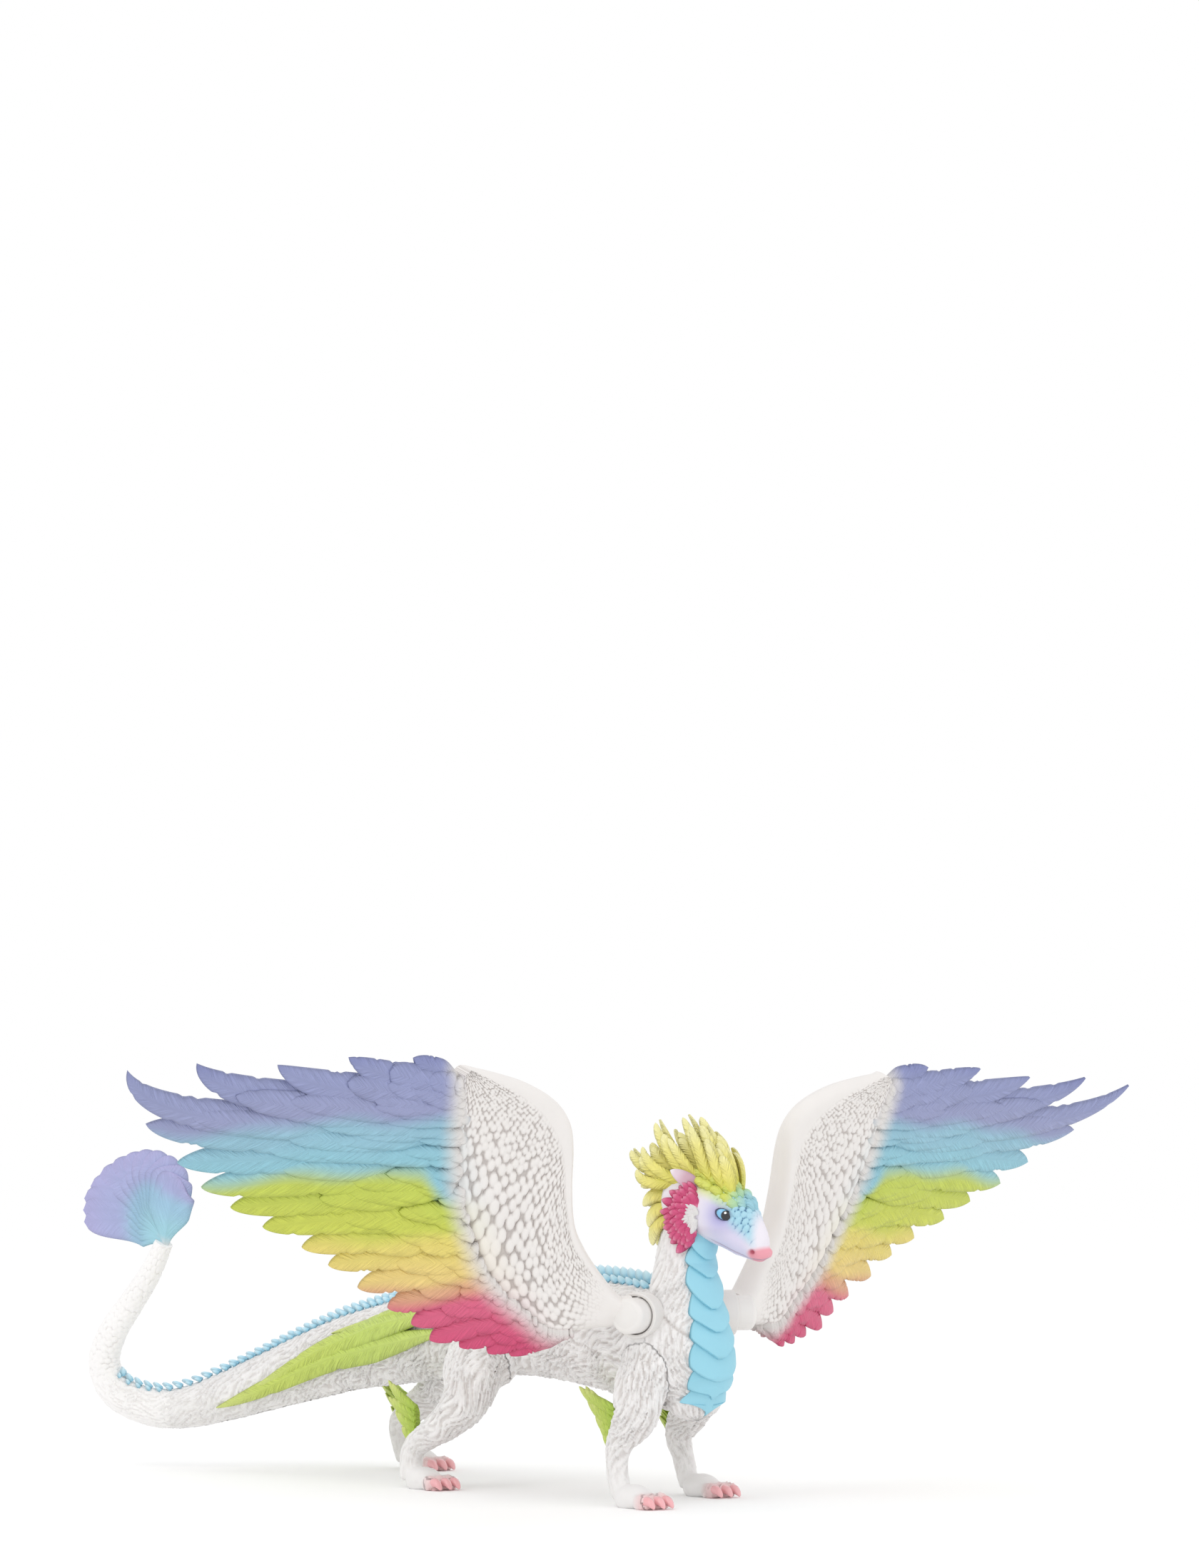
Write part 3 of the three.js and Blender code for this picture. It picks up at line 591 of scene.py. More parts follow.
@dataclass(frozen=True)
class FeatherRow:
    """One row of covert feathers over the flight feathers.

    Attributes:
        reach: where its tips fall along the flight feathers, 0 at the arm's border and 1 at their tips.
        length: how far back the feathers begin, in the same measure.
        half_width: of one feather in mm.
        lift: height over the wing's middle surface in mm.
        count: feathers in the row.
    """

    reach: float
    length: float
    half_width: float
    lift: float
    count: int


WING_WHITE = "e9e5e2"


@dataclass
class Wing:
    """A wing: a scaled arm with a smooth leading band, nineteen flight feathers and the coverts over them.

    Points of the wing are given as (out, up) in mm; the wing's middle surface gives their place forward.
    """

    side: Side
    tips: Sequence[tuple[float, float]] = (
        (41, 34.5), (46, 35.2), (52.2, 36.6), (59, 38.4), (63.6, 42), (69.5, 45.7), (77.3, 50.5), (85, 55.4),
        (92.3, 59.6), (102.7, 64.2), (111.5, 68.4), (120.3, 73.1), (128, 78.3), (139.4, 86.5), (150, 97.8),
        (133.3, 99.2), (113, 99.4), (95, 101.2), (77.5, 101.3),
    )
    tip_angles: Sequence[float] = (
        -65, -55, -43, -34, -29, -25, -21, -18, -15, -12, -10, -8, -6, 8, 54, 46, 30, 26, 24,
    )
    leading: Sequence[tuple[float, float]] = (
        (15.5, 48.0), (18.2, 48.2), (22.5, 53), (26.9, 59), (29.9, 65), (31.2, 73.4), (31.6, 81.9),
        (32.6, 87), (35.3, 90.9), (39.6, 93.9), (46.2, 96.6), (53.7, 98.4), (62.4, 99.9),
    )
    border: Sequence[tuple[float, float]] = (
        (15.5, 40.6), (18.2, 41.0), (24, 40.6), (29, 40.0), (34, 40.6), (40, 45.4), (46, 50.2), (50.5, 55.4),
        (54, 61.4), (57.5, 68.4), (60.5, 76.4), (62.2, 83.4), (63.4, 90.4), (64.6, 98.2),
    )
    bow: float = 0.0065                    # how fast the wing sweeps back outward and downward, per mm
    bow_root: float = 12.0                 # mm out, where the sweep begins
    bow_top: float = 102.0                 # mm up, where the sweep ends
    plane: float = 0.5                     # mm ahead of the pivot's line, where the wing isn't swept
    arm_thickness: tuple[float, float] = (7.6, 4.6)
    border_thickness: float = 4.2
    band: float = 0.15                     # share of the arm's width that the smooth leading band takes
    scale_sizes: tuple[float, float] = (0.034, 0.105)   # first and last scale row, as shares of the width
    scale_jitter: float = 0.34
    scale_height: float = 0.95
    flight_rows: int = 90
    steps_along: int = 270
    steps_across: int = 118
    rows: Sequence[FeatherRow] = (
        FeatherRow(0.60, 0.42, 3.4, 0.75, 15),
        FeatherRow(0.43, 0.36, 3.1, 1.1, 17),
        FeatherRow(0.29, 0.26, 2.5, 1.4, 20),
        FeatherRow(0.195, 0.18, 2.1, 1.6, 25),
        FeatherRow(0.12, 0.14, 1.75, 1.75, 31),
        FeatherRow(0.055, 0.11, 1.45, 1.85, 38),
    )
    bands: Sequence[tuple[float, str]] = (
        (33.0, "dc4f7c"), (44.0, "e26488"), (48.5, "e6b088"), (52.0, "f2d684"), (58.5, "efdd78"),
        (64.0, "d2da58"), (73.5, "cad858"), (78.5, "96cede"), (85.5, "9ac8dc"), (90.0, "9ca2ca"),
        (98.0, "989fca"), (104.0, "8087bc"),
    )

    def place(self, flat: Array, lift: Array | float = 0.0) -> Array:
        """Puts (out, up) points on the wing's middle surface, or a height over it."""
        out, up = flat[..., 0], flat[..., 1]
        ahead = self.plane - self.bow * (out - self.bow_root) * (self.bow_top - up)
        points = np.stack([ahead, self.side.value * out, up], -1)
        return points + self.normal(flat) * np.asarray(lift, float)[..., None]

    def normal(self, flat: Array) -> Array:
        """The surface's direction forward at (out, up) points."""
        out, up = flat[..., 0], flat[..., 1]
        outward = self.side.value * self.bow * (self.bow_top - up)
        return unit(np.stack([np.ones_like(out), outward, -self.bow * (out - self.bow_root)], -1))

    def paint(self, points: Array, whiteness: Array) -> Array:
        """Colours by height, with the bands tipped up outward, and fading to white towards the arm."""
        out, up = np.abs(points[..., 1]), points[..., 2]
        wobble = 0.7 * np.sin(out / 9.0) + 0.5 * np.sin(out / 3.7 + up / 5.0)
        dip = 8.0 * (1 - ease(out, 61, 71)) * ease(up, 62, 68) * (1 - ease(up, 74, 82))
        colours = colour_ramp(self.bands, up + 0.06 * (out - 85) + wobble + dip)
        return mixed(colours, linear(WING_WHITE), whiteness)

    def border_distance(self, points: Array) -> Array:
        """Distance in mm from the arm's border to points outside it, along (out, up)."""
        line = spline(np.array(self.border), np.linspace(0, 1, 120))
        flat = np.stack([np.abs(points[..., 1]), points[..., 2]], -1).reshape(-1, 1, 2)
        return np.linalg.norm(flat - line[None], axis=-1).min(1).reshape(points.shape[:-1])

    def vane_paint(self, points: Array, t: Array) -> Array:
        """Colours of a feather on the wing: the band's colour, paling near the arm."""
        return self.paint(points, 1 - ease(self.border_distance(points), 0.0, 6.0))

    def path(self, index: Array) -> Array:
        """Root, lean and tip of the flight feather at a place in the run, which need not be whole.

        Args:
            index: places from 0, the lowest feather, to 18, the topmost.

        Returns:
            Three (out, up) points for each place.
        """
        order = np.arange(len(self.tips), dtype=float)
        tips = np.stack([np.interp(index, order, np.array(self.tips)[:, k]) for k in range(2)], -1)
        angle = np.radians(np.interp(index, order, self.tip_angles))
        share = np.interp(index, [0, 14, 18], [0.22, 0.90, 0.985])
        roots = spline(np.array(self.border), share)
        reach = np.linalg.norm(tips - roots, axis=-1, keepdims=True)
        hook = np.interp(index, [0, 12, 13, 15, 18], [0.42, 0.42, 0.22, 0.17, 0.32])[..., None]
        lean = tips - hook * reach * np.stack([np.cos(angle), np.sin(angle)], -1)
        return np.stack([roots, lean, tips], -2)

    @staticmethod
    def along_course(course: Array, t: Array) -> Array:
        """Reads a feather's (out, up) course at places t; below 0 it runs straight on behind the root."""
        return bezier(course, np.clip(t, 0, 1)) + np.minimum(t, 0)[:, None] * (course[1] - course[0])

    def ribbon(self, flat: Array, lift: Array | float, front: int) -> tuple[Array, Array, Array]:
        """Lays a feather along (out, up) points.

        Args:
            flat: the points, from root to tip.
            lift: height over the wing's middle surface in mm.
            front: 1 on the front face and -1 on the back.

        Returns:
            Its line, its width direction and its face direction.
        """
        line = self.place(flat, lift * front)
        normal = self.normal(flat) * front
        across = unit(np.cross(normal, unit(np.gradient(line, axis=0))))
        return line, across * np.sign(across[:, 2:].mean() + 1e-6), normal

    def flight_feathers(self) -> Patch:
        """The nineteen long feathers, each rolled so that its lower edge lies over the next one down."""
        patches = []
        for k in range(len(self.tips)):
            course = self.path(np.array(float(k)))
            t = np.linspace(-0.04, 1.0, self.flight_rows)
            flat = self.along_course(course, t)
            lift = 0.25 * math.sin(k * 2.4)
            line, across, normal = self.ribbon(flat, np.full(len(flat), lift), 1)
            long_share = float(np.clip(np.linalg.norm(course[2] - course[0]) / 70, 0.0, 1.0))
            fuller = float(np.interp(k, [12, 14, 16, 18], [1.0, 1.05, 1.1, 1.0]))
            width = (2.9 + 1.5 * long_share) * fuller
            own = Vane(
                half_width=width, thickness=1.0, rows=self.flight_rows, columns=15, camber=0.5,
                point=float(np.interp(k, [0, 12, 13, 14], [4.8, 7.0, 4.5, 2.4])),
                sharpness=0.72 if k < 13 else 0.85, nicks=3,
            )
            patches.append(feather(own, line, across, normal, self.vane_paint, k + 0.3, roll=0.8))
        return Patch.joined(patches)

    def coverts(self) -> Patch:
        """The shorter rows on both faces, each over the roots of the row outside it."""
        patches = []
        for number, row in enumerate(self.rows):
            vane = Vane(
                half_width=row.half_width, thickness=1.0, rows=19, columns=8, point=3.6, sharpness=0.6,
                camber=0.4, nicks=1, shaft_height=0.12,
            )
            for k in range(row.count):
                place = (k + 0.5 + 0.25 * math.sin(number * 5 + k * 3.1)) / row.count * (len(self.tips) - 1)
                course = self.path(np.array(place))
                reach = row.reach + 0.035 * math.sin(k * 2.3 + number)
                t = np.linspace(max(reach - row.length, -0.05), reach, vane.rows)
                flat = self.along_course(course, t)
                for front in (1, -1):
                    far = (t - t[0]) / (t[-1] - t[0])
                    lift = row.lift * (0.55 + 0.5 * ease(far, 0.0, 0.45))
                    line, across, normal = self.ribbon(flat, lift, front)
                    patches.append(
                        feather(vane, line, across, normal, self.vane_paint, k + number * 31.7, roll=0.65)
                    )
        return Patch.joined(patches)

    def scale_relief(self, along: Array, share: Array, width: Array) -> tuple[Array, Array]:
        """Height and creases of overlapping round scales that grow away from the leading band.

        Each row's scales stand about half a scale beside the last row's. A scale is a dome tipped up towards
        its free edge, and where scales overlap the highest one shows.

        Args:
            along: mm from the arm's root, one for each row of the grid.
            share: places over the width, 0 at the leading edge.
            width: the arm's width at each row of the grid.

        Returns:
            Heights in mm, and 0..1 for how deep a point lies between scales.
        """
        height, cover = np.zeros((2, len(along), len(share)))
        row_at, number = self.band, 0
        first, last = self.scale_sizes
        while row_at < 1.04:
            grown = (row_at - self.band) / (1 - self.band)
            step = first + (last - first) * grown
            pitch = np.maximum(step * width, 0.8)
            index = np.concatenate([[0.0], np.cumsum(np.diff(along) / (0.5 * (pitch[1:] + pitch[:-1])))])
            index = index + 0.5 * (number % 2)
            size = np.clip(pitch / 2.4, 0.5, 1.15)[:, None]
            for beside in (-1, 0, 1):
                slot = np.floor(index) + beside
                aside, ahead, grow = (hashed(slot, number + key)[:, None] for key in (0.0, 50.0, 90.0))
                q = (index - slot - 0.5)[:, None] - self.scale_jitter * (aside - 0.5)
                p = (share[None] - row_at) / step - self.scale_jitter * (ahead - 0.5)
                radius = np.sqrt(q**2 + (p / 0.95) ** 2) / (0.49 + 0.1 * grow)
                dome = np.clip(1 - radius**2, 0, 1) ** 0.5
                cover = np.maximum(cover, dome)
                height = np.maximum(height, dome * (0.78 + 0.35 * np.clip(p, -0.6, 0.6)) * size)
            row_at += step * 0.9
            number += 1
        calm = ease(along, 6.0, 16.0)[:, None] * ease(share, self.band, self.band + 0.05)[None]
        return height * self.scale_height * calm, (1 - ease(cover, 0.15, 0.7)) * calm

    def arm(self) -> Patch:
        """The arm: a plate thick along its rounded leading edge, with scales on both faces."""
        u = np.linspace(0, 1, self.steps_along)
        share = 0.5 - 0.5 * np.cos(np.linspace(0, math.pi, self.steps_across))
        share = 0.35 * share + 0.65 * np.linspace(0, 1, self.steps_across) ** 1.15
        lead = spline(np.array(self.leading), u)
        edge = spline(np.array(self.border), u)
        flat = lead[:, None] * (1 - share[None, :, None]) + edge[:, None] * share[None, :, None]
        along = run_length(flat.mean(1))
        width = np.linalg.norm(edge - lead, axis=1)
        thick = np.interp(u, [0, 1], self.arm_thickness)[:, None]
        depth = np.clip(share[None] * width[:, None] / np.minimum(3.2, width * 0.5)[:, None], 0, 1)
        rise = np.sqrt(1 - (1 - depth) ** 2)
        taper = thick + (self.border_thickness - thick) * ease(share, 0.25, 1.0)[None]
        inset = np.clip((1 - share[None]) * width[:, None] / 3.2, 0, 1)
        root_round = np.sqrt(np.clip(1 - (1 - inset) ** 2, 0, 1))
        at_root = 1 - ease(along, 8.0, 20.0)[:, None]
        lip = 1 - 0.55 * ease(share, 0.94, 1.0)[None]
        half = 0.5 * taper * rise * lip * (1 - at_root * (1 - root_round))
        relief, creases = self.scale_relief(along, share, width)
        front = self.place(flat, half + relief)
        back = self.place(flat, -half - relief)
        blush = 0.12 * ease(share, 0.75, 1.0)[None] * ease(along, 12, 30)[:, None]
        tint = self.paint(self.place(flat), np.clip(1.0 - blush, 0, 1))
        # painted shade: grey c4bdb9 laid into the creases between the scales
        painted_shade = 1 - creases[..., None] * (1 - linear("c4bdb9") / linear(WING_WHITE))
        return plate(front, back, tint * painted_shade)

    def build(self) -> None:
        """Makes the wing's three pieces."""
        word, body = self.side.word, f"wing_{self.side.word}"
        add_piece(
            f"wing_arm_scales_{word}", self.arm(), SMOOTH_PVC,
            Place(body, "wing_white", (f"wing_arm_{word}",)),
        )
        add_piece(
            f"flight_feathers_{word}", self.flight_feathers(), FEATHER_PAINT,
            Place(body, "wing_rainbow", (f"wing_feathers_{word}",)),
        )
        add_piece(f"covert_feathers_{word}", self.coverts(), FEATHER_PAINT, Place(body, "wing_rainbow"))


# ------------------------------------------------------------------ limbs, fur and scales


@dataclass(frozen=True)
class Limb:
    """A tapering limb along stations of x, y, z, half width and half height in mm."""

    stations: tuple[tuple[float, ...], ...]
    hint: tuple[float, float, float] = (0.0, 1.0, 0.0)

    @property
    def last(self) -> int:
        """The last station's number."""
        return len(self.stations) - 1

    def centre(self, station: Array) -> Array:
        """Middle line at station numbers."""
        return spline(np.array(self.stations)[:, :3], np.asarray(station, float) / self.last)

    def half(self, station: Array) -> Array:
        """Half width and half height at station numbers."""
        order, sizes = np.arange(self.last + 1), np.array(self.stations)[:, 3:]
        return np.stack([np.interp(station, order, sizes[:, k]) for k in range(2)], -1)

    def frame(self, station: Array) -> tuple[Array, Array, Array]:
        """Directions forward, to the side and up at station numbers."""
        station = np.asarray(station, float)
        low, high = np.clip(station - 0.05, 0, self.last), np.clip(station + 0.05, 0, self.last)
        forward = unit(self.centre(high) - self.centre(low))
        hint = np.array(self.hint)
        side = unit(hint - forward * (forward @ hint)[..., None])
        return forward, side, np.cross(forward, side)

    def skin(self, station: Array, angle: Array, lift: Array | float = 0.0) -> tuple[Array, Array]:
        """Points on the skin, or a height over it, and the directions out of it.

        Args:
            station: station numbers.
            angle: degrees round the limb, 0 at its side and 90 on top.
            lift: mm over the skin.

        Returns:
            The points, and unit vectors.
        """
        turn = np.radians(np.asarray(angle, float))
        _, side, rise = self.frame(station)
        half = self.half(station)
        outward = side * (np.cos(turn) / half[..., 0])[..., None]
        out = unit(outward + rise * (np.sin(turn) / half[..., 1])[..., None])
        points = self.centre(station) + side * (half[..., 0] * np.cos(turn))[..., None]
        points = points + rise * (half[..., 1] * np.sin(turn))[..., None]
        return points + out * np.asarray(lift, float)[..., None], out

    @staticmethod
    def grid(start: float, end: float, steps: int, around: int) -> tuple[Array, Array]:
        """Station numbers and degrees for every point of a stack of rings between two stations."""
        station = np.linspace(start, end, steps)[:, None] + np.zeros((1, around))
        angle = np.linspace(0, 360, around, endpoint=False)[None] + np.zeros((steps, 1))
        return station, angle

    def rings(self, start: float, end: float, steps: int, around: int) -> Array:
        """Rings of skin points between two stations."""
        return self.skin(*self.grid(start, end, steps, around))[0]

    def coordinates(self, points: Array, samples: int = 150) -> tuple[Array, Array, Array, Array]:
        """Where points lie about the limb.

        Args:
            points: rows of x, y, z.
            samples: places tried along the middle line.

        Returns:
            Mm along it, mm round it from its top, distance from the middle in units of its size, and the
            station number.
        """
        station = np.linspace(0, self.last, samples)
        centre, (forward, side, rise), half = self.centre(station), self.frame(station), self.half(station)
        arc = run_length(centre)
        gap = (points**2).sum(1)[:, None] - 2 * points @ centre.T + (centre**2).sum(1)[None]
        j = gap.argmin(1)
        rel = points - centre[j]
        a = np.einsum("ij,ij->i", rel, side[j]) / half[j, 0]
        b = np.einsum("ij,ij->i", rel, rise[j]) / half[j, 1]
        along = arc[j] + np.einsum("ij,ij->i", rel, forward[j])
        round_it = np.arctan2(a, b) * np.sqrt(half[j, 0] * half[j, 1])
        past_end = np.einsum("ij,ij->i", rel, forward[j]) / half[j].mean(1)
        return along, round_it, np.sqrt(a**2 + b**2 + past_end**2), station[j]


SPINE = Limb(
    (
        (11, 0, 31, 3.5, 4.5), (8, 0, 31.5, 8, 9), (0, 0, 33, 11.5, 12.3), (-12, 0, 36, 12.5, 13.8),
        (-30, 0, 38.3, 12, 13), (-55, 0, 39, 11.5, 11.8), (-82, 0, 37.4, 12, 11.3), (-100, -1, 35, 11, 10.8),
        (-112, -2, 33, 10, 10.3), (-125, -5, 30.5, 9.2, 9.4), (-138, -9, 26.5, 8.2, 8.4),
        (-149, -14, 22.5, 7.2, 7.2), (-159, -20, 18.6, 6.2, 6.2), (-166, -27, 15.8, 5.3, 5.3),
        (-172, -34, 15.6, 4.7, 4.7), (-178, -41, 19.5, 4.3, 4.3), (-180, -44, 27, 3.9, 3.9),
        (-176, -44, 35, 3.5, 3.5), (-169, -43, 42.5, 3.1, 3.1), (-162, -42, 50, 2.7, 2.7),
        (-157, -41, 58, 2.2, 2.2),
    ),
    (0.35, -0.94, 0.0),
)
NECK = Limb((
    (4, 0, 23, 6, 6), (2.8, 0, 27, 9, 9), (1.5, 0, 34, 11, 10.4), (0.6, 0, 41, 10.3, 9.8),
    (0.3, 0, 48, 8.3, 8.3), (-0.3, 0.4, 55, 6.6, 6.8), (0.4, 0.8, 61, 6, 6.3), (1.5, 1, 66, 4.6, 5),
))
LEGS = {
    "fore_leg_right": Limb((
        (-2, -8.5, 34, 5, 7), (-1, -12, 27, 5.5, 7), (0, -14.5, 20.5, 4.8, 5.6), (-4, -15.7, 14.5, 2.9, 3.3),
        (-4.8, -16, 9.5, 2.4, 2.6), (-4, -16, 5, 2.4, 2.6), (-3, -16, 2, 2.2, 2.6),
    )),
    "fore_leg_left": Limb((
        (-4, 9, 34, 5, 7), (-9, 12.5, 27, 5.5, 6.5), (-17, 16, 20, 4.5, 5), (-23, 17.5, 14.3, 3, 3.5),
        (-22, 18, 9, 2.4, 2.7), (-20.5, 18, 4.5, 2.4, 2.6), (-19.5, 18, 2, 2.2, 2.6),
    )),
    "hind_leg_right": Limb((
        (-66, -8, 36, 6, 10), (-64, -12, 29, 7, 9.5), (-62, -16, 22.5, 5.5, 6.5), (-66, -18, 17, 4, 4.6),
        (-73, -19, 13, 3.2, 3.4), (-79, -19.3, 9.5, 2.7, 3), (-80, -19.5, 5, 2.7, 3),
        (-79.5, -19.5, 2, 2.6, 3),
    )),
    "hind_leg_left": Limb((
        (-90, 7, 34, 6, 8.5), (-100, 12, 28, 6, 7.5), (-114, 15, 21.5, 4.6, 5.2), (-127, 16.5, 16, 3.4, 3.8),
        (-135, 17.3, 11.5, 2.8, 3), (-135, 18, 6, 2.6, 2.8), (-133.5, 18.3, 2, 2.4, 2.8),
    )),
}
PAWS = {
    "fore_leg_right": (2.0, -16.0), "fore_leg_left": (-14.5, 18.0),
    "hind_leg_right": (-74.0, -19.5), "hind_leg_left": (-127.0, 18.5),
}
FUR_WHITE, FUR_SHADE, TOE_FLUSH = "f7f5f4", "cdc6c2", "f2c3c4"


def ripple(points: Array, scale: float, seed: float) -> Array:
    """Smooth noise of about -1..1 in space: five plane waves of nearby lengths and scattered directions."""
    total = np.zeros(points.shape[:-1])
    for k in range(5):
        a, b = TURN * hashed(seed, k), math.acos(2 * float(hashed(seed + 7, k)) - 1)
        way = np.array([math.sin(b) * math.cos(a), math.sin(b) * math.sin(a), math.cos(b)])
        total += np.sin(points @ way * TURN / (scale * (0.7 + 0.6 * float(hashed(seed + 3, k)))) + 9 * k)
    return total / 2.6


LOCK_REACH = 2.1             # rows that one lock runs over
LOCK_STAGGER = 0.55          # most that a lock starts late, in rows


def locks(along: Array, across: Array, length: float, width: float, seed: float) -> Array:
    """Height, 0..1, of staggered pointed locks of fur that overlap down their flow.

    Each lock starts narrow, swells, and ends in a point that stands proud of the next row. Where locks
    overlap, the highest shows.

    Args:
        along: mm down the flow.
        across: mm over it.
        length: one row's share of a lock.
        width: one lock's width.
        seed: sets the scatter.

    Returns:
        Heights, one for each point.
    """
    height = np.zeros(np.broadcast(along, across).shape)
    row = np.floor(along / length)
    for back in range(3):
        own = row - back
        slot = across / width + 0.5 * (own % 2) + 0.3 * (hashed(own, seed) - 0.5)
        column = np.floor(slot)
        t = (along / length - own - LOCK_STAGGER * hashed(own, column, seed)) / LOCK_REACH
        sway = 0.24 * np.sin(t * 4.2 + TURN * hashed(column, own, seed))
        q = (slot - column - 0.5 + sway) * 2
        wide = 1.25 * np.sqrt(np.clip(t, 0, 1)) * (1 - np.clip(t, 0, 1) ** 2.2)
        body = np.clip(1 - (q / np.maximum(wide, 0.04)) ** 2, 0, 1) * (t > 0) * (t < 1)
        height = np.maximum(height, np.sqrt(body) * (0.35 + 0.65 * np.clip(t, 0, 1)))
    return height


def pebbles(along: Array, around: Array, columns: int, pitch: float) -> Array:
    """Height, 0..1, of rounded beads in staggered rings.

    Args:
        along: mm along the limb.
        around: 0..1 round it.
        columns: beads in a ring.
        pitch: mm from ring to ring.

    Returns:
        Heights, one for each point.
    """
    height = np.zeros(np.broadcast(along, around).shape)
    row = np.floor(along / pitch)
    for step in (-1, 0, 1):
        own = row + step
        slot = around * columns + 0.5 * (own % 2)
        column = np.floor(slot) % columns
        p = along / pitch - own - 0.5 + 0.3 * (hashed(own, column) - 0.5)
        q = slot - np.floor(slot) - 0.5 + 0.16 * (hashed(column, own, 3.0) - 0.5)
        size = 0.55 + 0.12 * hashed(own, column, 9.0)
        height = np.maximum(height, np.sqrt(np.clip(1 - (p / (size * 1.05)) ** 2 - (q / size) ** 2, 0, 1)))
    return height


def ellipsoid(centre: Sequence[float], radii: Sequence[float], steps: int = 14, around: int = 20) -> Array:
    """Stacks the rings of an ellipsoid.

    Args:
        centre: its middle in mm.
        radii: its half sizes along x, y and z in mm.
        steps: rings from its bottom to its top.
        around: points in a ring.

    Returns:
        Points by ring and by place around it.
    """
    polar = np.linspace(0.06, math.pi - 0.06, steps)[:, None]
    turn = np.linspace(0, TURN, around, endpoint=False)[None]
    level = np.sin(polar)
    ball = np.stack([level * np.cos(turn), level * np.sin(turn), -np.cos(polar) + 0 * turn], -1)
    return np.array(centre) + ball * np.array(radii)


def skinned(shells: Sequence[Array], voxel: float, smoothing: int) -> tuple[Array, Array, Array]:
    """Melts overlapping closed shells into one closed skin of even squares.

    Args:
        shells: ring stacks in mm.
        voxel: side of a square in mm.
        smoothing: rounds of averaging with the neighbours.

    Returns:
        Points in mm, quads, and the directions out of the skin.
    """
    raw = Patch.joined([tube(rings, linear(FUR_WHITE)) for rings in shells])
    source = bpy.data.objects.new("melt", mesh_of("melt", raw))
    bpy.context.scene.collection.objects.link(source)
    remesh = source.modifiers.new("melt", "REMESH")
    remesh.mode, remesh.voxel_size, remesh.use_smooth_shade = "VOXEL", voxel * MM, True
    mesh = bpy.data.meshes.new_from_object(source.evaluated_get(bpy.context.evaluated_depsgraph_get()))
    count = len(mesh.vertices)
    points = np.empty(count * 3, np.float32)
    mesh.vertices.foreach_get("co", points)
    points = points.reshape(-1, 3).astype(float) / MM - ROW_SHIFT
    quads = np.empty(len(mesh.polygons) * 4, np.int32)
    mesh.polygons.foreach_get("vertices", quads)
    quads = quads.reshape(-1, 4)
    edges = np.empty(len(mesh.edges) * 2, np.int32)
    mesh.edges.foreach_get("vertices", edges)
    edges = edges.reshape(-1, 2)
    ends, others = np.concatenate([edges[:, 0], edges[:, 1]]), np.concatenate([edges[:, 1], edges[:, 0]])
    share = np.bincount(ends, minlength=count)[:, None]
    for _ in range(smoothing):
        mean = np.stack([np.bincount(ends, points[others, k], minlength=count) for k in range(3)], -1) / share
        points = 0.4 * points + 0.6 * mean
    bpy.data.objects.remove(source)
    bpy.data.meshes.remove(mesh)
    return points, quads, outward_of(points, quads)


def outward_of(points: Array, quads: Array) -> Array:
    """Averages the directions of the squares round each point."""
    faces = np.cross(points[quads[:, 2]] - points[quads[:, 0]], points[quads[:, 3]] - points[quads[:, 1]])
    total = np.zeros_like(points)
    for corner in range(4):
        for k in range(3):
            total[:, k] += np.bincount(quads[:, corner], faces[:, k], minlength=len(points))
    return unit(total)


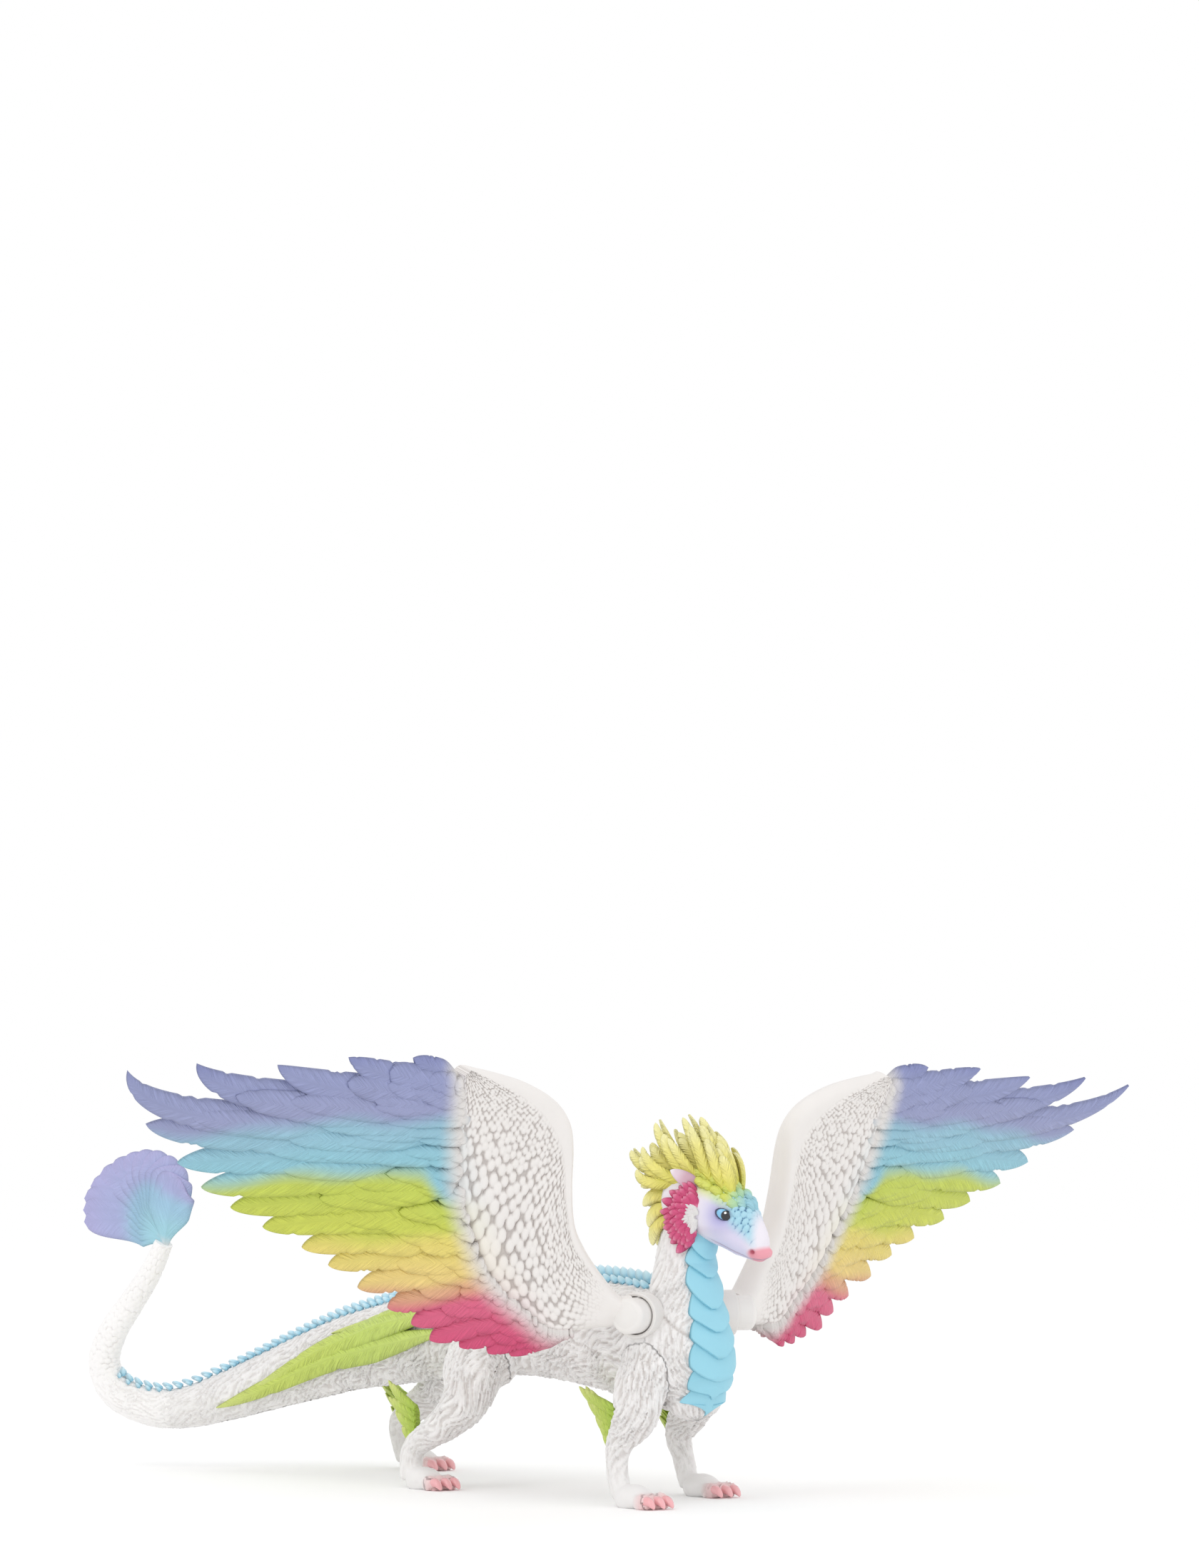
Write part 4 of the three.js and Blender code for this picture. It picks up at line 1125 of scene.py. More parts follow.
@dataclass
class FurBody:
    """The white furry body: trunk, neck, legs and paws in one melted skin, and the tail's beaded end."""

    voxel: float = 0.52
    smoothing: int = 5
    tail_start: float = 13.2
    lock_length: float = 2.5
    lock_width: float = 1.5
    lock_depth: float = 0.85
    bead_pitch: float = 1.8
    bead_depth: float = 0.5
    seam_point: tuple[float, float, float] = (5.0, 0.0, 42.0)
    seam_normal: tuple[float, float, float] = (0.61, 0.0, 0.79)
    muscles: Sequence[tuple[tuple[float, float, float], tuple[float, float, float]]] = (
        ((-64, -7.5, 33.5), (10.5, 6.8, 9.5)), ((-91, 6.5, 33.0), (10.5, 6.6, 8.5)),
        ((-1.5, -8.5, 33.0), (7.5, 6.0, 10.0)), ((-5.5, 8.5, 32.0), (7.5, 6.0, 9.0)),
        ((3.6, 0.0, 25.0), (5.8, 7.5, 6.0)),
    )
    claws: Sequence[tuple[float, float]] = ((-2.7, 0.75), (0.0, 1.0), (2.7, 0.75))

    def shells(self) -> list[Array]:
        """The closed shells that the skin is melted from."""
        stacks = [SPINE.rings(0, self.tail_start + 0.7, 90, 40), NECK.rings(0, NECK.last, 40, 32)]
        stacks += [ellipsoid(centre, radii) for centre, radii in self.muscles]
        stacks += [leg.rings(0, leg.last, 40, 28) for leg in LEGS.values()]
        for x, y in PAWS.values():
            stacks.append(ellipsoid((x - 0.6, y, 1.9), (5.2, 4.2, 3.4)))
            for k, reach in self.claws:
                stacks.append(ellipsoid((x + 4.4 + 1.3 * reach, y + k, 1.5), (3.0, 1.55, 2.2)))
        return stacks

    def flow(self, points: Array) -> tuple[Array, Array, Array]:
        """Fur coordinates at skin points, taken from the limb that each lies on.

        Returns:
            Mm down the flow, mm across it, and how strongly the fur is sculpted, 0..1.
        """
        best = np.full(len(points), np.inf)
        along, across, strength = np.zeros((3, len(points)))
        for number, limb in enumerate((SPINE, NECK, *LEGS.values())):
            a, c, distance, station = limb.coordinates(points)
            if limb is NECK:
                a = -a
            if limb is SPINE:
                fall = 0.42
                a, c = a * math.cos(fall) + np.abs(c) * math.sin(fall), np.sign(c) * (
                    np.abs(c) * math.cos(fall) - a * math.sin(fall))
                grip = 1.0 - 0.45 * ease(station, 8, 13)
                distance = distance + 0.6 * (1 - ease(station, 0.9, 1.8))
            elif limb is NECK:
                grip = 0.85 - 0.25 * ease(station, 4, 6)
            else:
                grip = 1.0 - 0.6 * ease(station, 2.2, limb.last - 1)
            nearer = distance < best
            best = np.where(nearer, distance, best)
            along = np.where(nearer, a + 31.0 * number, along)
            across = np.where(nearer, c + 17.0 * number, across)
            strength = np.where(nearer, grip, strength)
        for x, y in PAWS.values():
            near = np.hypot(points[:, 0] - x, points[:, 1] - y)
            strength = strength * (1 - (1 - ease(near, 3.0, 8.5)) * (1 - ease(points[:, 2], 4.0, 7.0)))
        return along, across, strength

    def seam(self, points: Array) -> Array:
        """The moulding seam where the neck and chest half is glued on: 1 on the line and 0 away from it."""
        gap = (points - np.array(self.seam_point)) @ unit(np.array(self.seam_normal))
        ahead = ease(points[:, 0], -1.0, 1.5)
        return np.exp(-((gap / 0.32) ** 2)) * ahead

    def toes(self, points: Array) -> Array:
        """How far the claws' colour runs up each toe: 1 at the claws and 0 at the ankles."""
        flush = np.zeros(len(points))
        for x, y in PAWS.values():
            beyond = points[:, 0] - x
            ahead = ease(beyond, 2.5, 7.5) * (np.abs(points[:, 1] - y) < 6) * (beyond < 12)
            flush = np.maximum(flush, ahead * (1 - ease(points[:, 2], 3.0, 5.5)))
        return flush

    def skin(self) -> Patch:
        """The body's skin with its sculpted locks, with painted shade between them."""
        points, quads, out = skinned(self.shells(), self.voxel, self.smoothing)
        along, across, strength = self.flow(points)
        along = along + 0.9 * ripple(points, 14.0, 2.0)
        across = across + 1.3 * ripple(points, 12.0, 5.0)
        coarse = locks(along, across, self.lock_length, self.lock_width, 1.0)
        fine = locks(along * 1.05 + 7, across * 1.1 + 3, self.lock_length * 0.8, self.lock_width * 0.55, 4.0)
        height = 0.75 * coarse + 0.25 * fine
        hub = np.minimum(*(np.linalg.norm(points - SHOULDER * (1, s, 1), axis=1) for s in (-1, 1)))
        strength = strength * (0.25 + 0.75 * ease(hub, 5.0, 9.0))
        points = points + out * ((height - 0.42) * self.lock_depth * strength)[:, None]
        points[:, 2] = np.maximum(points[:, 2], 0.0)
        # painted shade: FUR_SHADE laid into the hollows between the locks; the same colour also marks the
        # moulding seam line
        hollow = (1 - ease(height, 0.1, 0.6)) * strength
        seam = self.seam(points)
        points = points - out * (0.4 * seam)[:, None]
        paint = mixed(linear(FUR_WHITE), linear(FUR_SHADE), np.maximum(0.7 * hollow, seam))
        paint = mixed(paint, linear(TOE_FLUSH), 0.75 * self.toes(points))
        patch = Patch(points, quads, NO_TRIS, paint)
        patch.grain = np.stack([along, across, strength], -1)
        return patch.outward()

    def tail_end(self) -> Patch:
        """The rising end of the tail: fur that gives way to beads."""
        steps, around = 420, 84
        station = SPINE.grid(self.tail_start, SPINE.last, steps, around)[0]
        turn = np.linspace(0, 1, around, endpoint=False)[None] + np.zeros((steps, 1))
        base, out = SPINE.skin(station, 360 * turn)
        middle = SPINE.centre(station[:, 0])
        arc = run_length(middle)[:, None]
        half = SPINE.half(station)[..., 0]
        bead = pebbles(arc, turn, 13, self.bead_pitch)
        along, across = arc + 1.2 * ripple(base, 11.0, 2.0), turn * 30.0 + 0.8 * ripple(base, 9.0, 5.0)
        fur = locks(along, across, 2.3, 1.25, 2.0)
        height = mixed(fur[..., None], bead[..., None], ease(station, 14.6, 16.4))[..., 0]
        starts = ease(arc, 0.0, 5.0)
        points = base + out * ((height - 0.5) * self.bead_depth * (0.6 + 0.4 * ease(half, 2.0, 5.0))
                               - 0.5 * (1 - starts) + 0.05)[..., None]
        # painted shade: FUR_SHADE in the hollows between the locks and beads
        paint = mixed(linear(FUR_WHITE), linear(FUR_SHADE), 0.18 * (1 - ease(height, 0.1, 0.6)))
        return tube(points, paint)

    def claws_patch(self) -> Patch:
        """The pink claws, one on each toe, curved down to the ground."""
        patches = []
        for x, y in PAWS.values():
            for k, reach in self.claws:
                start = np.array([x + 6.0 + 1.3 * reach, y + k * 1.02, 1.9])
                t = np.linspace(0, 1, 12)
                line = bezier(np.array([start, start + (1.9, 0, 0.3), start + (3.1, 0.0, -1.5)]), t)
                size = 1.1 * (1 - t**2.4) ** 0.6 + 0.03
                turn = np.linspace(0, TURN, 14, endpoint=False)
                ring = np.stack([0 * turn, np.cos(turn), np.sin(turn)], -1)
                rings = line[:, None] + ring[None] * size[:, None, None]
                patches.append(tube(rings, linear("f0b0b4")))
        return Patch.joined(patches)

    def build(self) -> None:
        """Makes the body's pieces."""
        add_piece(
            "fur_body", self.skin(), FUR_PAINT,
            Place("body", "fur_white", ("torso", "neck_chest", *LEGS)),
        )
        add_piece("beaded_tail", self.tail_end(), SMOOTH_PVC, Place("body", "fur_white", ("tail",)))
        add_piece("claws", self.claws_patch(), GLOSS_ENAMEL, Place("body", "claw_pink"))


# ------------------------------------------------------------------ head, crest, plates and plumes


def leaf(
    vane: Vane, points: Sequence[Sequence[float]], normal: Sequence[float], paint: Paint, seed: float,
    roll: float = 0.0,
) -> Patch:
    """Lays a short feather along the curve from its root, past a lean point, to its tip.

    Args:
        vane: the feather's build.
        points: root, lean and tip.
        normal: the way its face looks.
        paint: gives its colours.
        seed: makes its nicks its own.
        roll: how far, in mm, one edge drops.

    Returns:
        The closed feather.
    """
    line = bezier(np.array(points, float), np.linspace(0, 1, vane.rows))
    along = unit(np.gradient(line, axis=0))
    across = unit(np.cross(np.broadcast_to(np.array(normal, float), line.shape), along))
    return feather(vane, line, across, np.cross(along, across), paint, seed, roll)


def fading(stops: Sequence[tuple[float, str]]) -> Paint:
    """Makes a paint that blends colours from a feather's root, 0, to its tip, 1."""
    return lambda points, t: colour_ramp(stops, t)


@dataclass
class Head:
    """The long-nosed head with its eyes, ears, cheek frills and feather crest.

    It is shaped looking straight ahead along its own x and then turned towards the figure's left.
    """

    turn_degrees: float = 22.0
    shape: Limb = Limb((
        (-5, 0, 70.6, 1.6, 2), (-3, 0, 70.3, 4.4, 5), (2, 0, 69.5, 6.2, 7), (8, 0, 67.6, 6.4, 7.5),
        (13, 0, 64.6, 5.2, 6.6), (17.3, 0, 60.9, 3.6, 5.0), (20.4, 0, 58.1, 2.6, 2.8),
        (22.6, 0, 57.4, 0.9, 0.9),
    ))
    eye: tuple[float, float, float] = (12.9, 4.2, 66.4)
    eye_size: tuple[float, float, float] = (2.35, 1.5, 1.5)
    nostril: tuple[float, float, float] = (19.2, 2.5, 57.9)
    crest_tips: Sequence[tuple[float, float]] = (
        (10.6, 82.6), (8.8, 85.2), (6.4, 87.6), (4.1, 89.8), (1.4, 90.2), (-2.0, 86.0), (-6.3, 88.9),
        (-9.4, 83.6), (-13.2, 81.9), (-10.6, 77.3),
    )
    nape_tips: Sequence[tuple[float, float]] = ((-9.2, 72.6), (-8.6, 68.2), (-7.2, 63.4), (-6.2, 59.2))

    def turned(self, patch: Patch) -> Patch:
        """Turns a shape from the head's own directions to the figure's."""
        return patch.turned(turn_about_z(math.radians(self.turn_degrees)))

    def skull(self) -> Patch:
        """The head's skin with sockets, brows, nostrils, mouth line and the scales on the nose."""
        steps, around = 210, 168
        points = self.shape.rings(0, self.shape.last, steps, around)
        _, out = self.shape.skin(*self.shape.grid(0, self.shape.last, steps, around))
        x, y, z = points[..., 0], np.abs(points[..., 1]), points[..., 2]
        mirror = np.stack([x, y, z], -1)

        def bump(centre: Sequence[float], radii: Sequence[float]) -> Array:
            """A soft mound of height 1 at a place on both sides of the head."""
            return np.exp(-((((mirror - centre) / radii) ** 2).sum(-1)))

        ex, ey, ez = self.eye
        lift = -0.75 * bump((ex, ey + 0.6, ez), (2.9, 3.0, 1.9))
        lift += 0.65 * bump((ex - 0.4, ey - 0.6, ez + 2.7), (3.6, 2.4, 0.95))
        lift += 0.5 * bump((ex - 1.6, ey + 1.2, ez - 3.0), (3.2, 2.5, 1.3))
        lift -= 0.55 * bump((17.0, 3.6, 62.6), (2.6, 2.0, 1.7))
        nx, ny, nz = self.nostril
        rim = bump((nx, ny, nz + 0.1), (1.35, 1.4, 1.15))
        hole = bump((nx + 0.1, ny + 0.3, nz), (0.55, 1.0, 0.5))
        lift += 0.42 * rim - 0.85 * hole
        mouth = np.interp(x, [6.5, 9.5, 14, 18, 21, 23.2], [62.2, 60.2, 58.0, 56.3, 55.9, 56.6])
        crease = np.exp(-(((z - mouth) / 0.24) ** 2)) * ease(x, 7.5, 10.0)
        lift -= 0.32 * crease
        lift += 0.3 * bump((7.6, 5.8, 61.0), (1.5, 3.0, 1.1))
        top = ease(out[..., 2] + 0.35 * out[..., 0], 0.2, 0.6)
        flank = ease(out[..., 2] + 0.35 * out[..., 0], -0.15, 0.3) * ease(x, 12.8, 15.0)
        bridge = np.maximum(top * ease(x, 9.0, 11.5), flank) * (1 - ease(x, 18.4, 20.8))
        scale = pebbles(x * 0.9 - z * 0.7 + 80, (points[..., 1] + 0.35 * z + 40) / 80, 58, 1.35)
        lift += bridge * 0.75 * (scale - 0.3)
        points = points + out * lift[..., None]
        face = mixed(linear("ebe6ef"), linear("d8d3ea"), ease(x, 6, 12) * (1 - ease(x, 16, 21)))
        lavender = np.clip(1.25 * bump((ex - 0.3, ey + 0.5, ez - 0.3), (3.4, 3.2, 2.8)), 0, 1)
        face = mixed(face, linear("a9a6d8"), 0.85 * lavender)
        face = mixed(face, linear("a3d6e6"), 0.9 * bridge)
        brow = top * ease(x, 4.0, 8.0) * (1 - ease(x, 12.0, 15.0))
        face = mixed(face, linear("dce67c"), 0.8 * brow)
        lined = np.clip(2.6 * bump((ex, ey + 0.4, ez), (2.7, 2.6, 1.75)) - 1.1, 0, 1)
        face = mixed(face, linear("3f4873"), 0.9 * lined)
        pink = ease(58.9 - z + 0.25 * (x - 19), 0.0, 1.4) * ease(x, 17.2, 19.0)
        face = mixed(face, linear("eb9fac"), pink)
        # painted shade: the inside of each nostril hole is darkened
        inner = np.clip(1.5 * bump((nx + 0.1, ny + 0.3, nz), (0.6, 1.2, 0.55)), 0, 1)
        face = mixed(face, linear("b9586c"), inner)
        # painted shade: the mouth crease is darkened
        face = mixed(face, linear("a58fa0"), 0.65 * crease)
        # painted shade: darker blue between the scales on the nose
        face = mixed(face, linear("5f86b2"), 0.9 * bridge * (1 - ease(scale, 0.15, 0.6)))
        return self.turned(tube(points, face))

    def eyes(self) -> Patch:
        """The eyeballs: a black pupil with a painted white glint (a painted highlight), and a pale blue iris
        towards the rear corner.
        """
        patches = []
        for side in Side:
            steps, around = 40, 48
            polar = np.linspace(0.03, math.pi - 0.03, steps)[:, None]
            turn = np.linspace(0, TURN, around, endpoint=False)[None]
            level = np.sin(polar)
            ball = np.stack([level * np.cos(turn), -np.cos(polar) + 0 * turn, level * np.sin(turn)], -1)
            p, q = ball[..., 0] * self.eye_size[0], ball[..., 2] * self.eye_size[2]
            front = ball[..., 1] > 0
            iris = 1 - ease(np.hypot((p + 0.35) / 1.25, q), 1.35, 1.6)
            pupil = 1 - ease(np.hypot(p - 0.5, q), 1.15, 1.25)
            # painted highlight: a white glint painted on the pupil
            glint = 1 - ease(np.hypot(p - 0.05, q - 0.5), 0.24, 0.3)
            colour = mixed(linear("dfeaf4"), linear("7fbfe6"), iris * front)
            colour = mixed(colour, linear("0a0a12"), pupil * front)
            rim = ease(np.hypot(p / self.eye_size[0], q / self.eye_size[2]), 0.72, 0.82)
            colour = mixed(mixed(colour, linear("2c3050"), rim), linear("ffffff"), glint * front)
            tilt = math.radians(-26)
            place = np.stack([p, ball[..., 1] * self.eye_size[1], q], -1)
            c, d = math.cos(tilt), math.sin(tilt)
            lean = np.array([[c, 0, -d], [0, 1, 0], [d, 0, c]])
            face = math.radians(26)
            place = place @ lean.T @ turn_about_z(-face).T + np.array(self.eye)
            place = place * (1, side.value, 1)
            patches.append(tube(place, colour))
        return self.turned(Patch.joined(patches))

    def crest(self) -> Patch:
        """The crown's feathers, swept up and back from the brow, and the nape's behind the neck."""
        patches = []
        yellow = fading(((0.0, "d2de5e"), (0.2, "ece66e"), (0.5, "f8ee86"), (1.0, "fdf7b4")))
        for layer in range(-2, 3):
            for k, (x, z) in enumerate(self.crest_tips):
                sway = math.sin(3.1 * k + 2.0 * layer)
                root = np.array(
                    [13.9 - 1.38 * k + 0.3 * sway, 1.45 * layer, 71.0 + 0.38 * k - 0.35 * abs(layer)]
                )
                shrink = 1 - 0.075 * abs(layer) - 0.05 * (1 + sway)
                tip = root + (np.array([x + 0.5 * sway, 2.6 * layer + 0.9 * sway, z]) - root) * shrink
                hook = float(ease(np.array(float(k)), 4.5, 6.5))
                lean = root + (0.55 + 0.25 * hook) * (tip - root) + np.array([
                    (1.2 + 0.5 * sway) * (1 - hook) - 1.6 * hook, 0.7 * layer, 1.2 + 0.8 * sway - 4.2 * hook])
                vane = Vane(
                    half_width=1.5 + 0.25 * sway, thickness=0.75, rows=34, columns=9, point=3.4,
                    sharpness=0.5, camber=0.45, shaft_height=0.25, nicks=2, root_width=0.6, barbs=2.2,
                )
                face = np.array([0.25, 0.5 * layer if layer else 0.35 * (-1) ** k, 0.55])
                patches.append(leaf(vane, (root, lean, tip), face, yellow, k * 3.3 + layer, 0.35))
        for layer in (-1.5, -0.5, 0.5, 1.5):
            for k, (x, z) in enumerate(self.nape_tips):
                root = np.array([-1.5, 1.3 * layer, 74.0 - 3.0 * k])
                tip = np.array([x, 2.4 * layer, z])
                lean = root + np.array([-5.0, 0.9 * layer, 1.2])
                vane = Vane(
                    half_width=1.9, thickness=0.75, rows=30, columns=9, point=4.0, sharpness=0.6, camber=0.4,
                    nicks=1, root_width=0.7, barbs=1.6,
                )
                patches.append(leaf(vane, (root, lean, tip), (-0.4, layer, 0.6), yellow, k + layer, 0.2))
        return self.turned(Patch.joined(patches))

    def brow_curls(self) -> Patch:
        """Short curled feathers along the brow and down the forehead, lime that turns to aqua on the nose."""
        patches = []

        def paint(points: Array, t: Array) -> Array:
            """Lime on the brow and aqua on the nose, yellower towards the tips behind."""
            stops = ((-9.0, "e6ea70"), (13.2, "dfe76c"), (15.2, "bce3b4"), (17.5, "a2d6e6"))
            yellowing = 0.35 * (1 - ease(points[..., 0], 9, 13)) * t
            return mixed(colour_ramp(stops, points[..., 0]), linear("e9e37a"), yellowing)

        for layer in (-3, -2, -1, 0, 1, 2, 3):
            for k in range(7):
                sway = math.sin(2.3 * k + 1.7 * layer)
                x = 14.7 - 1.8 * k + 0.4 * sway - 0.5 * abs(layer)
                station = np.interp(x, [-3, 2, 8, 13, 17.5, 21], [1, 2, 3, 4, 5, 6])
                root, out = self.shape.skin(np.array(station), np.array(90.0 + 15.5 * layer), 0.0)
                if root[2] < 60:
                    root, out = self.shape.skin(np.array(station), np.array(-90.0 + 15.5 * layer), 0.0)
                tip = root + np.array([-3.0, 0.15 * layer, 0.6]) + out * (1.1 + 0.3 * sway)
                lean = root + np.array([-1.0, 0.1 * layer, 0.2]) + out * 2.0
                vane = Vane(
                    half_width=1.15, thickness=0.6, rows=16, columns=7, point=3.0, sharpness=0.5, camber=0.45,
                    nicks=0, root_width=0.8, barbs=1.6,
                )
                patches.append(leaf(vane, (root - out * 0.3, lean, tip), out, paint, k + 9.1 * layer, 0.15))
        return self.turned(Patch.joined(patches))

    def ears(self) -> Patch:
        """The cupped ears."""
        patches = []
        paint = fading(((0.0, "b98fa0"), (0.45, "cfa9b8"), (0.8, "e2cdd8"), (1.0, "f0e8ee")))
        for side in Side:
            s = side.value
            vane = Vane(
                half_width=1.9, thickness=0.8, rows=26, columns=11, point=2.8, sharpness=0.7, camber=-0.55,
                nicks=0, shaft_height=0.0, root_width=0.7, barbs=0.0,
            )
            points = ((6.2, s * 5.2, 72.8), (4.4, s * 7.6, 74.8), (1.2, s * 8.6, 76.6))
            patches.append(leaf(vane, points, (0.55, s * 0.75, -0.2), paint, 2.0))
        return self.turned(Patch.joined(patches))

    def frills(self) -> tuple[Patch, Patch]:
        """Behind each jaw, rows of small pink feathers, and the white fur rows in front of them."""
        pink, white = [], []
        rose = fading(((0.0, "e890ae"), (0.3, "d4447a"), (0.8, "dc5585"), (1.0, "ec8cab")))
        snow = fading(((0.0, "efedeb"), (0.8, "eeeaea"), (1.0, "e4dce0")))
        for side in Side:
            s = side.value
            for row in range(7):
                count = (9, 9, 9, 8, 8, 13, 11)[row]
                start = 6.6 - 0.85 * row
                for k in range(count):
                    angle = math.radians(104 + 152 * (k + 0.5 * (row % 2)) / count)
                    jog = math.sin(5.1 * k + 2.2 * row + s)
                    way = np.array([math.cos(angle), 0.0, math.sin(angle)])
                    out = np.array([0.35, s, 0.1])
                    flare = 0.55 - 0.06 * row
                    jaw = np.array([6.9, s * 5.3, 65.8])
                    root = jaw + way * (start - 1.0) + np.array([0, s * 0.16 * row, 0])
                    reach = (3.3 if row < 5 else 2.2) + 0.6 * jog
                    tip = root + way * reach + np.array([0, s * flare * reach, 0])
                    lean = root + way * reach * 0.5 + np.array([0, s * 0.1, 0])
                    vane = Vane(
                        half_width=1.3 + 0.15 * jog, thickness=0.6, rows=14, columns=7, point=2.4,
                        sharpness=0.6, camber=0.55, nicks=0, root_width=0.7, shaft_height=0.15, barbs=1.4,
                    )
                    if row >= 5:
                        vane = replace(vane, half_width=0.75, camber=0.3)
                    which, paint = (pink, rose) if row < 5 else (white, snow)
                    which.append(leaf(vane, (root, lean, tip), out, paint, k + 10 * row, 0.45))
        return self.turned(Patch.joined(pink)), self.turned(Patch.joined(white))

    def build(self) -> None:
        """Makes the head's pieces."""
        add_piece("head_skin", self.skull(), SMOOTH_PVC, Place("body", "face_lilac", ("head",)))
        add_piece("eyes", self.eyes(), GLOSS_ENAMEL, Place("body", "eye_gloss"))
        add_piece(
            "crest_feathers", self.crest(), FEATHER_PAINT,
            Place("body", "crest_yellow", ("crest_crown", "crest_nape")),
        )
        add_piece("brow_curls", self.brow_curls(), FEATHER_PAINT, Place("body", "crest_yellow"))
        add_piece("ears", self.ears(), SMOOTH_PVC, Place("body", "face_lilac", ("ear_right", "ear_left")))
        pink, white = self.frills()
        add_piece(
            "cheek_frills", pink, FEATHER_PAINT,
            Place("body", "frill_pink", ("cheek_frill_right", "cheek_frill_left")),
        )
        add_piece("cheek_fur", white, FEATHER_PAINT, Place("body", "fur_white"))


@dataclass
class Plates:
    """The sky-blue plates: pointed shields down the throat and overlapping saw teeth down the back and tail."""

    throat_top: float = 6.55
    throat_bottom: float = -0.95
    throat_count: int = 8
    back_start: float = 3.0
    back_end: float = 15.6
    back_pitch: float = 2.7

    def throat(self) -> Patch:
        """Plates with round shoulders and a point below, each laid over the top of the next one down."""
        patches = []
        share = np.linspace(0, 1, self.throat_count + 1) ** 0.92
        edges = self.throat_bottom + (self.throat_top - self.throat_bottom) * share
        rows, columns = 26, 41
        for k in range(self.throat_count):
            low, high = edges[k], edges[k + 1]
            wide = float(np.interp(k, [0, 2, 4, 7], [6.4, 7.0, 5.6, 4.0]))
            w = np.linspace(-1, 1, columns)[None]
            v = np.linspace(0, 1, rows)[:, None]
            crown, foot = high + 0.4 * (high - low), low - (0.52 if k else 0.2) * (high - low)
            station = crown + (foot - crown) * v + 0 * w
            radius = np.interp(0.5 * (low + high), np.arange(8), np.array(NECK.stations)[:, 3])
            shoulder = np.sqrt(np.clip(1 - ((v - 0.52) / 0.62) ** 2, 0, 1))
            taper = np.clip(1 - np.clip((v - 0.52) / 0.48, 0, 1) ** 1.3, 0.0004, 1) ** 0.9
            angle = -90 + np.degrees(w * np.where(v < 0.52, shoulder, taper) * wide / radius)
            edge = np.minimum(1 - np.abs(w), np.minimum(v, 1 - v) * 1.2)
            round_edge = np.sqrt(np.clip(1 - (1 - np.clip(edge / 0.10, 0, 1)) ** 2, 0, 1))
            lift = 0.1 + (0.3 + 1.75 * v) * round_edge
            below = np.minimum(station - 0.3, 0)[..., None]
            under = below * np.array((2.6, 0.0, 4.4)) * (np.cos(w * 1.2)[..., None] ** 0.5)
            front = NECK.skin(np.clip(station, 0.3, 6.98), angle, lift)[0] + under
            back = NECK.skin(np.clip(station, 0.3, 6.98), angle, -0.9)[0] + under
            # painted shade: each plate is darker towards its edges and towards its top, which lies under the
            # plate above
            painted_light = ease(round_edge, 0.3, 0.95) * (0.75 + 0.25 * ease(v, 0, 0.5))
            paint = mixed(linear("4f9bb2"), linear("97d2e4"), painted_light)
            patches.append(plate(front, back, paint))
        return Patch.joined(patches)

    def back(self) -> Patch:
        """Leaf-shaped plates down the ridge, each over the next, with rows of little scales beside them."""
        patches = []
        station = np.linspace(self.back_start, self.back_end, 400)
        middle = SPINE.skin(station, np.full(400, 90.0))[0]
        arc = run_length(middle)
        spots = np.arange(0, arc[-1], self.back_pitch)
        blue = fading(((0.0, "94cde4"), (0.5, "bde3f2"), (1.0, "d6eef8")))
        for number, spot in enumerate(spots):
            here = float(np.interp(spot, arc, station))
            size = float(np.clip(np.interp(here, [3, 7, 10, 15.6], [0.95, 0.9, 0.75, 0.5]), 0.4, 1.1))
            forward = SPINE.frame(np.array(here))[0]
            for angle, scale in ((90, 1.0), (72, 0.6), (108, 0.6)):
                root, out = SPINE.skin(np.array(here), np.array(float(angle)), 0.1)
                reach = 4.4 * size * scale
                tip = root + forward * reach * 0.85 + out * (2.7 * size * scale)
                lean = root + forward * reach * 0.55 + out * (1.2 * size * scale)
                vane = Vane(
                    half_width=1.9 * size * scale, thickness=0.8 * scale, rows=12, columns=9, point=2.2,
                    sharpness=0.7, camber=0.35 * scale, nicks=0, shaft_height=0.12, root_width=0.7, barbs=0.0,
                )
                patches.append(leaf(vane, (root, lean, tip), out, blue, number * 1.0))
        return Patch.joined(patches)

    def build(self) -> None:
        """Makes the two rows of plates."""
        add_piece("throat_hearts", self.throat(), SMOOTH_PVC, Place("body", "plate_blue", ("throat_plates",)))
        add_piece(
            "ridge_plates", self.back(), SMOOTH_PVC, Place("body", "plate_blue", ("back_ridge", "tail_ridge"))
        )


